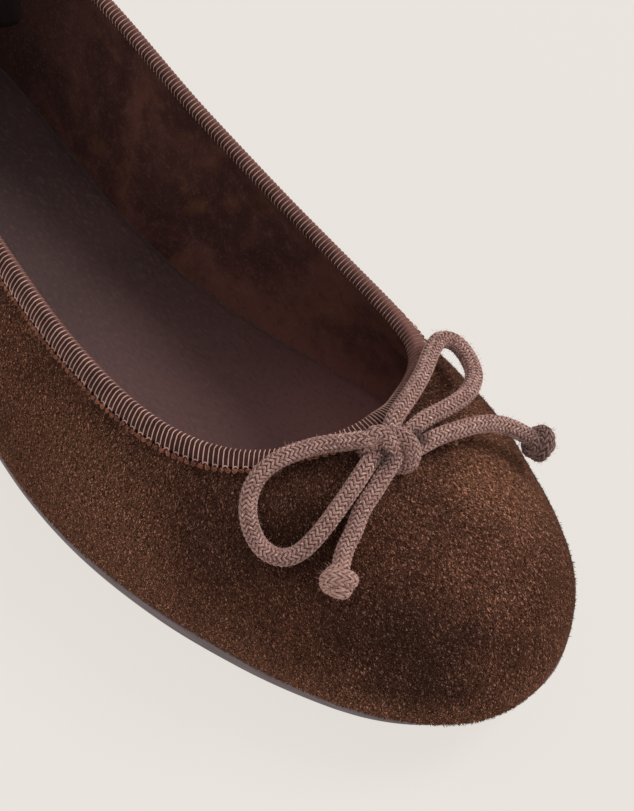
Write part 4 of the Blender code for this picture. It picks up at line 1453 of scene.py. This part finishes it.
def makeHeelLining():
    share = np.linspace(-1, 1, heelLining["around"])
    turns = np.mod(share * heelLining["reach"], 1.0)
    up = np.linspace(0, 1, heelLining["up"])
    curve = heelLining["corner"] * np.abs(share) ** 6
    low = heelLining["bottom"] + curve
    high = heelLining["top"] - 0.3 * curve
    rises = low[:, None] + (high - low)[:, None] * up[None]
    grid = last.skin(turns, rises)
    out = last.normals(turns, rises)
    fromEnds = (1 - np.abs(share))[:, None] * heelLining["halfLong"]
    edge = np.minimum(np.minimum(up, 1 - up)[None] * heelLining["tall"], fromEnds)
    thick = heelLining["thick"] * np.sqrt(np.clip(edge / heelLining["taper"], 0, 1))
    face = grid - out * (lastSizes["wall"] + thick)[..., None]
    piece = addPiece("heel_lining", face, gridFaces(*face.shape[:2]), makeGripFinish())
    dress(piece, "insole")


def makeGripFinish():
    finish = Finish("heel_grip_leather", Roughness=0.7, Specular_IOR_Level=0.3)
    place = finish.place()
    grain = finish.noise(place, 1600.0, 3.0, 0.6)
    tone = finish.mix(finish.noise(place, 60.0, 2.0).between(0.3, 0.7), srgb(40, 31, 29), srgb(56, 43, 40))
    finish.feed("Base Color", tone)
    finish.feed("Normal", finish.bump(grain, 0.10 * mm, 0.5))
    return finish.material


makeHeelLining()
print("lining set")


# Sole and heel
sole = {
    "around": 640,
    "edgeRound": 0.7 * mm,
    "edgeSteps": 5,
}
heel = {
    "reach": 56.0 * mm,
    "setIn": 0.5 * mm,
    "taper": 1.2 * mm,
    "steps": 90,
    "lift": 0.3 * mm,
    "topPiece": 2.4 * mm,
}


def soleRing(turns, setIn):
    return last.edge(turns) - last.centre + last.outward(turns) * (lastSizes["soleMargin"] - setIn)


def underside(points):
    return soleLift(-(points[..., 1] + last.centre[1]))


def fillBetween(first, count, half):
    # caps a ring by strips from the lateral to the medial side
    faces = [(first, first + 1, first + count - 1)]
    for i in range(1, half - 1):
        faces.append((first + i, first + i + 1, first + count - i - 1, first + count - i))
    faces.append((first + half - 1, first + half, first + half + 1))
    return faces


def makeRubberFinish(name, dark, light):
    finish = Finish(name, Specular_IOR_Level=0.4)
    place = finish.place()
    fine = finish.noise(place, 1900.0, 2.0)
    streaks = finish.noise(finish.stretched(place, (1.0, 1.0, 14.0)), 90.0, 2.0)
    tone = finish.mix(streaks.between(0.3, 0.7), dark, light)
    finish.feed("Base Color", tone)
    finish.feed("Roughness", fine * 0.2 + 0.42)
    finish.feed("Normal", finish.bump(fine, 0.05 * mm, 0.35))
    return finish.material


def makeOutsole():
    turns = np.arange(sole["around"]) / sole["around"]
    edgeRound, thick = sole["edgeRound"], lastSizes["soleThick"]
    rings = []
    for step in range(sole["edgeSteps"]):
        angle = math.pi / 2 * step / (sole["edgeSteps"] - 1)
        ring = soleRing(turns, edgeRound * (1 - math.sin(angle)))
        rings.append(atHeight(ring, underside(ring) + edgeRound * (1 - math.cos(angle))))
    for step in range(sole["edgeSteps"]):
        angle = math.pi / 2 * step / (sole["edgeSteps"] - 1)
        ring = soleRing(turns, edgeRound * (1 - math.cos(angle)))
        rings.append(atHeight(ring, underside(ring) + thick - edgeRound * (1 - math.sin(angle))))
    count = len(turns)
    faces = ringFaces(len(rings), count, closed=False)
    faces += [tuple(reversed(face)) for face in fillBetween(0, count, count // 2)]
    faces += fillBetween((len(rings) - 1) * count, count, count // 2)
    finish = makeRubberFinish("sole_rubber", srgb(98, 86, 89), srgb(116, 103, 105))
    piece = addPiece("outsole_unit", np.concatenate(rings), faces, finish)
    piece.data.set_sharp_from_angle(angle=math.radians(50))
    dress(piece, "sole", "outsole")


def makeHeel():
    fine = np.linspace(0, 0.5, 801)
    breast = float(np.interp(heel["reach"], last.ring(fine)[:, 1], fine))
    side = np.linspace(0, breast, heel["steps"])
    turns = np.concatenate([side, 1 - side[:0:-1]])
    levels = (  # height, groove
        (0.0, 0.35 * mm), (0.25 * mm, 0.0), (heel["topPiece"], 0.0),
        (heel["topPiece"] + 0.12 * mm, 0.25 * mm), (heel["topPiece"] + 0.3 * mm, 0.0),
        (lastSizes["heelHeight"] - heel["lift"], 0.0),
    )
    rings = []
    for height, groove in levels:
        share = height / lastSizes["heelHeight"]
        ring = soleRing(turns, heel["setIn"] + heel["taper"] * (1 - share) + groove)
        limit = underside(ring) - heel["lift"]
        rings.append(atHeight(ring, np.minimum(limit, height)))
    count = len(turns)
    faces = ringFaces(len(rings), count, closed=False)
    caps = [(0, 1, count - 1)]
    caps += [(i, i + 1, count - i - 1, count - i) for i in range(1, heel["steps"] - 1)]
    faces += [tuple(reversed(face)) for face in caps]
    top = (len(rings) - 1) * count
    faces += [tuple(top + spot for spot in face) for face in caps]
    finish = makeRubberFinish("heel_rubber", srgb(66, 55, 56), srgb(80, 68, 68))
    piece = addPiece("heel_block", np.concatenate(rings), faces, finish)
    piece.data.set_sharp_from_angle(angle=math.radians(40))
    dress(piece, "heel", "heel")


makeOutsole()
makeHeel()
print("sole and heel made")


# Floor and light
stage = {
    "floorHalf": 6.0,
    "floor": srgb(233, 228, 222),
    "glow": 0.90,
    "sky": 0.64,
    "sunTurn": 70.0,
    "sunLift": 48.0,
    "sunSize": 24.0,
    "sunPower": 1.85,
}


def makeStage():
    half = stage["floorHalf"]
    corners = [(-half, -half, 0), (half, -half, 0), (half, half, 0), (-half, half, 0)]
    lit = tuple(part * (1 - stage["glow"]) for part in stage["floor"][:3])
    finish = Finish(
        "pale_floor", Base_Color=(*lit, 1.0), Roughness=0.9, Specular_IOR_Level=0.0,
        Emission_Color=stage["floor"], Emission_Strength=stage["glow"],
    )
    floor = addPiece("floor", corners, [(0, 1, 2, 3)], finish.material, smooth=False)
    world = bpy.data.worlds.new("studio")
    world.use_nodes = True
    background = world.node_tree.nodes["Background"]
    background.inputs["Color"].default_value = (1.0, 0.985, 0.965, 1.0)
    background.inputs["Strength"].default_value = stage["sky"]
    bpy.context.scene.world = world
    sunData = bpy.data.lights.new("key", "SUN")
    sunData.energy = stage["sunPower"]
    sunData.angle = math.radians(stage["sunSize"])
    sunData.color = (1.0, 0.975, 0.95)
    sun = bpy.data.objects.new("key", sunData)
    sun.rotation_mode = "QUATERNION"
    sun.rotation_quaternion = backWay(stage["sunTurn"], stage["sunLift"]).to_track_quat("Z", "Y")
    bpy.context.scene.collection.objects.link(sun)
    bpy.context.scene.view_settings.view_transform = "Standard"


makeStage()
print("stage lit")

bpy.context.view_layer.update()
